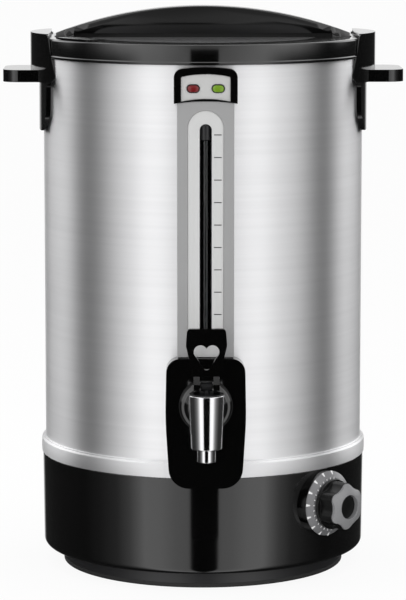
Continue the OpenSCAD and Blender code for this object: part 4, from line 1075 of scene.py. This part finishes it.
def tick_tree():
    """Row of printed ticks on a line: instances of a thin bar, made real."""
    tree, given, result = new_maker(
        "gauge_ticks",
        [
            ("Count", "Int"), ("Pitch", "Float"), ("Length", "Float"), ("Width", "Float"),
            ("Thickness", "Float"), ("First", "Vector"),
        ],
    )
    inputs = {
        "Count": given["Count"], "Start Location": given["First"],
        "Offset": combined(tree, Z=given["Pitch"]),
    }
    line = add_node(tree, "GeometryNodeMeshLine", inputs, mode="OFFSET")
    size = combined(tree, X=given["Length"], Y=given["Thickness"], Z=given["Width"])
    bar = add_node(tree, "GeometryNodeMeshCube", {"Size": size})
    copied = {"Points": line.outputs["Mesh"], "Instance": bar.outputs["Mesh"]}
    return inked_copies(tree, given, result, copied)


def grown(name, tree, values):
    """Object made by a geometry tree, as a plain mesh."""
    obj = add_object(name, [(0, 0, 0)], [])
    modifier = obj.modifiers.new("grow", "NODES")
    modifier.node_group = tree
    sockets = {s.name: s.identifier for s in tree.interface.items_tree if s.in_out == "INPUT"}
    for label, value in values.items():
        modifier[sockets[label]] = value
    return baked(obj)


def ink(context):
    """Printed marks."""
    return looks.plastic(
        "printed_ink", tuple(context.scene.urn_finishes.print_ink), 0.45, ripple=0
    )


class URN_OT_gauge(bpy.types.Operator):
    """Gauge cover, scale plate with its ticks, and sight tube"""

    bl_idname = "urn.gauge"
    bl_label = "Water gauge"

    def execute(self, context):
        finishes = context.scene.urn_finishes
        sizes = context.scene.urn_sizes
        grey = looks.plastic("grey_cover", tuple(finishes.channel), 0.3, ripple=0.03)
        rework("gauge_cover", "gauge_cover_channel", "urn", "grey_cover", grey, 1.0, 3)
        pale = looks.plastic("pale_plate", tuple(finishes.scale_plate), 0.34, ripple=0.02)
        plate = self.plate()
        place(plate, "urn", "pale_plate", pale, "gauge_plate")

        marks = grown(
            "gauge_tick_marks",
            tick_tree(),
            {
                "Count": sizes.tick_count, "Pitch": sizes.tick_pitch,
                "Length": sizes.tick_length, "Width": sizes.tick_width,
                "Thickness": 0.00012,
                "First": (0.0094, -(GAUGE_Y - 0.8) * MM - 0.00003, 0.2233),
                "Ink": ink(context),
            },
        )
        place(marks, "urn", "black_satin", ink(context))

        # The glass's dark colour is painted shade: it stands in for the shade in the gap behind
        # the tube, darkening the lit tank seen through it
        glass = looks.clear("tube_glass", (0.1, 0.105, 0.11), 0.08)
        glass.node_tree.nodes["Principled BSDF"].inputs["Specular IOR Level"].default_value = 1.0
        bore, outer, foot, top, edge = 2.8, 4.0, 182.6, 358.8, 0.2
        wall = [(bore, foot, edge), (outer, foot, edge), (outer, top, edge), (bore, top, edge)]
        tube = turned("sight_tube_glass", filleted(wall, 3), steps=48, axis_y=-TUBE_Y)
        place(tube, "urn", "tube_glass", glass, "sight_tube")
        dress(black_satin(), "gauge_elbow_lower", "gauge_elbow_upper")
        return {"FINISHED"}

    def plate(self):
        """Scale plate, whose slot ends behind the lever's paddle."""
        half, foot, top = 13.9, 189.6, 382.4
        slot, slot_foot, slot_top = 4.7, 208.0, 372.0
        outer = [(-half, foot), (half, foot)]
        outer += arc_points((0, top - half), half, 0, 180, 40)
        hole = arc_points((0, slot_top - slot), slot, 0, 180, 24)
        hole += arc_points((0, slot_foot + slot), slot, 180, 180, 24)
        front = GAUGE_Y - 0.8
        return pierced("gauge_plate_face", outer, hole, front, front - 2.4, 0.25)


class URN_OT_tap(bpy.types.Operator):
    """Tap shield, boss, body, valve and lever"""

    bl_idname = "urn.tap"
    bl_label = "Tap"

    def execute(self, context):
        gloss = black_gloss()
        rework("tap_shield", "tap_shield_moulding", "urn", "black_gloss", gloss, 2.6, 4)
        rework("tap_rosette", "tap_boss_moulding", "urn", "black_gloss", gloss, 0.9, 4)
        chrome = looks.metal("tap_chrome", (0.8, 0.8, 0.81), 0.12, 0.02)
        profile = filleted([
            (13.8, 166.2, 0.5), (9.3, 166.2, 0.2), (9.3, 141.7, 0.5), (5.0, 141.7, 0.3),
            (5.0, 113.6, 0.3), (7.3, 113.6, 0.8), (7.3, 123.9, 0.5), (12.1, 123.9, 1.2),
        ])
        barrel = turned("tap_barrel", profile, steps=120, axis_y=-TAP_Y)
        profile = filleted([
            (10.5, 152.0, 0.3), (10.5, 163.0, 0), (5.5, 163.0, 0), (5.5, 106.6, 0.3),
            (8.0, 106.6, 0.8), (8.0, 152.0, 0),
        ])
        neck = turned("tap_neck", profile, steps=96)
        aimed(neck, 0, TAP_Z)
        body = joined("tap_body_casting", [barrel, neck])
        place(body, "urn", "tap_chrome", chrome, "tap_body")
        rework("tap_bonnet", "tap_bonnet_cap", "urn", "black_satin", black_satin(), 0.3)
        dress(black_satin(), "tap_stem", "shank_spacer")
        dress(zinc(), "tap_spring", "tap_nut", "lever_pin")
        rework("tap_lever", "tap_lever_moulding", "lever", "black_gloss", gloss, 0.7, 3)
        return {"FINISHED"}


def dial_tree():
    """Printed marks round a dial: a tapered mark turned to each place on an arc."""
    tree, given, result = new_maker(
        "dial_marks",
        [
            ("Count", "Int"), ("Radius", "Float"), ("First Angle", "Float"),
            ("Step Angle", "Float"), ("Length", "Float"), ("Inner Width", "Float"),
            ("Outer Width", "Float"), ("Slope", "Float"),
        ],
    )
    points = add_node(tree, "GeometryNodeMeshLine", {"Count": given["Count"]})
    index = add_node(tree, "GeometryNodeInputIndex").outputs[0]
    angle = calc(tree, "MULTIPLY_ADD", index, given["Step Angle"], given["First Angle"])
    spot = combined(tree, X=calc(tree, "COSINE", angle), Y=calc(tree, "SINE", angle))
    spot = vector_calc(tree, "SCALE", {0: spot, "Scale": given["Radius"]})
    moved = add_node(
        tree,
        "GeometryNodeSetPosition",
        {"Geometry": points.outputs["Mesh"], "Position": spot},
    )
    mark = add_node(
        tree,
        "GeometryNodeMeshCone",
        {
            "Vertices": 4, "Radius Top": given["Outer Width"],
            "Radius Bottom": given["Inner Width"], "Depth": given["Length"],
        },
    ).outputs["Mesh"]
    for socket, value in (
        ("Rotation", (0.0, math.pi / 2, 0.0)),
        ("Scale", (1.0, 1.0, 0.12)),
        ("Rotation", combined(tree, Y=given["Slope"])),
    ):
        inputs = {"Geometry": mark, socket: value}
        mark = add_node(tree, "GeometryNodeTransform", inputs).outputs["Geometry"]
    copied = {
        "Points": moved.outputs["Geometry"], "Instance": mark,
        "Rotation": combined(tree, Z=angle),
    }
    return inked_copies(tree, given, result, copied)


class URN_OT_knob(bpy.types.Operator):
    """Dial ring with its marks, and the knob"""

    bl_idname = "urn.knob"
    bl_label = "Knob"

    def execute(self, context):
        dial = looks.metal("dial_metal", (0.17, 0.17, 0.175), 0.4)
        dial.node_tree.nodes["Principled BSDF"].inputs["Metallic"].default_value = 0.35
        profile = filleted([
            (DIAL_R, DIAL_EDGE - 0.8, 0), (DIAL_R, DIAL_EDGE, 0.5),
            (DIAL_INNER, DIAL_EDGE + DIAL_RISE, 0.6), (19.0, DIAL_EDGE + 3.6, 0.4),
            (9.5, DIAL_EDGE + 3.6, 0), (9.5, DIAL_EDGE - 0.8, 0),
        ])
        ring = turned("dial_ring_plate", profile, steps=120)
        place(aimed(ring, KNOB_ANGLE, KNOB_Z), "urn", "dial_metal", dial, "dial_ring")
        rework("dial_seat", "dial_seat_cup", "urn", "black_gloss", black_gloss(), 0.5)
        tree = dial_tree()
        pale = looks.plastic("printed_pale", (0.72, 0.72, 0.72), 0.4, ripple=0)
        slope = math.atan2(DIAL_RISE, DIAL_R - DIAL_INNER)
        for name, count, radius, step, length, narrow, wide, tilt in (
            ("dial_large_marks", 9, 23.5, 23.4, 3.2, 0.5, 1.1, slope),
            ("dial_small_marks", 17, 20.0, 11.7, 1.6, 0.45, 0.5, 0.0),
        ):
            values = {
                "Count": count, "Radius": radius * MM, "First Angle": math.radians(82),
                "Step Angle": math.radians(step), "Length": length * MM,
                "Inner Width": narrow * MM, "Outer Width": wide * MM, "Slope": tilt,
                "Ink": pale,
            }
            marks = grown(name, tree, values)
            rise = DIAL_EDGE + min(DIAL_RISE + 0.15, (DIAL_R - radius) * math.tan(slope))
            marks.data.transform(Matrix.Translation((0, 0, rise * MM)))
            place(aimed(marks, KNOB_ANGLE, KNOB_Z), "urn", "lamp_plate", pale)
        drum = looks.plastic("knob_black", (0.003, 0.003, 0.003), 0.3, ripple=0.02, vary=0.1)
        rework("control_knob", "control_knob_moulding", "knob", "black_gloss", drum, 0.6, 3)
        cap = looks.plastic("cap_grey", (0.2, 0.2, 0.205), 0.34, ripple=0.05)
        rework("knob_cap", "knob_cap_face", "knob", "cap_grey", cap, 0.5, 3)
        dress(zinc(), "thermostat_shaft")
        return {"FINISHED"}


class URN_OT_inner(bpy.types.Operator):
    """Finishes of the pieces inside the base"""

    bl_idname = "urn.inner"
    bl_label = "Inner pieces"

    def execute(self, context):
        cream = looks.plastic("ceramic_cream", (0.72, 0.66, 0.52), 0.5, ripple=0.08)
        dress(cream, "thermal_cutout", "thermostat", "terminal_block")
        dress(zinc(), "tank_studs", "stud_nuts", "thermostat_nut")
        dress(looks.metal("copper", (0.7, 0.38, 0.22), 0.25), "thermostat_bulb")
        dress(looks.metal("plate_aluminium", (0.68, 0.69, 0.7), 0.35), "heat_spreader")
        dress(looks.metal("element_metal", (0.3, 0.3, 0.32), 0.4), "heating_element")
        dress(looks.plastic("wire_cover", (0.26, 0.04, 0.03), 0.7, ripple=0.3), "wire_harness")
        return {"FINISHED"}


class URN_PT_panel(bpy.types.Panel):
    """Lists the urn's pieces and settings"""

    bl_idname = "URN_PT_panel"
    bl_label = "Hot water urn"
    bl_space_type = "VIEW_3D"
    bl_region_type = "UI"
    bl_category = "Urn"

    def draw(self, context):
        column = self.layout.column(align=True)
        for operator in OPERATORS:
            column.operator(operator.bl_idname)
        for group in (
            context.scene.urn_finishes,
            context.scene.urn_sizes,
            context.scene.urn_studio,
        ):
            box = self.layout.box()
            for key in group.__annotations__:
                box.prop(group, key)


OPERATORS = (
    URN_OT_studio,
    URN_OT_body,
    URN_OT_base,
    URN_OT_collar,
    URN_OT_lid,
    URN_OT_handles,
    URN_OT_indicator,
    URN_OT_gauge,
    URN_OT_tap,
    URN_OT_knob,
    URN_OT_inner,
)
CLASSES = (UrnFinishes, UrnSizes, UrnStudio, *OPERATORS, URN_PT_panel)


def register():
    for cls in CLASSES:
        bpy.utils.register_class(cls)
    bpy.types.Scene.urn_finishes = PointerProperty(type=UrnFinishes)
    bpy.types.Scene.urn_sizes = PointerProperty(type=UrnSizes)
    bpy.types.Scene.urn_studio = PointerProperty(type=UrnStudio)


def unregister():
    for key in ("urn_finishes", "urn_sizes", "urn_studio"):
        delattr(bpy.types.Scene, key)
    for cls in reversed(CLASSES):
        bpy.utils.unregister_class(cls)


def main():
    register()
    for operator in OPERATORS:
        group, name = operator.bl_idname.split(".")
        getattr(getattr(bpy.ops, group), name)()


if __name__ == "__main__":
    main()
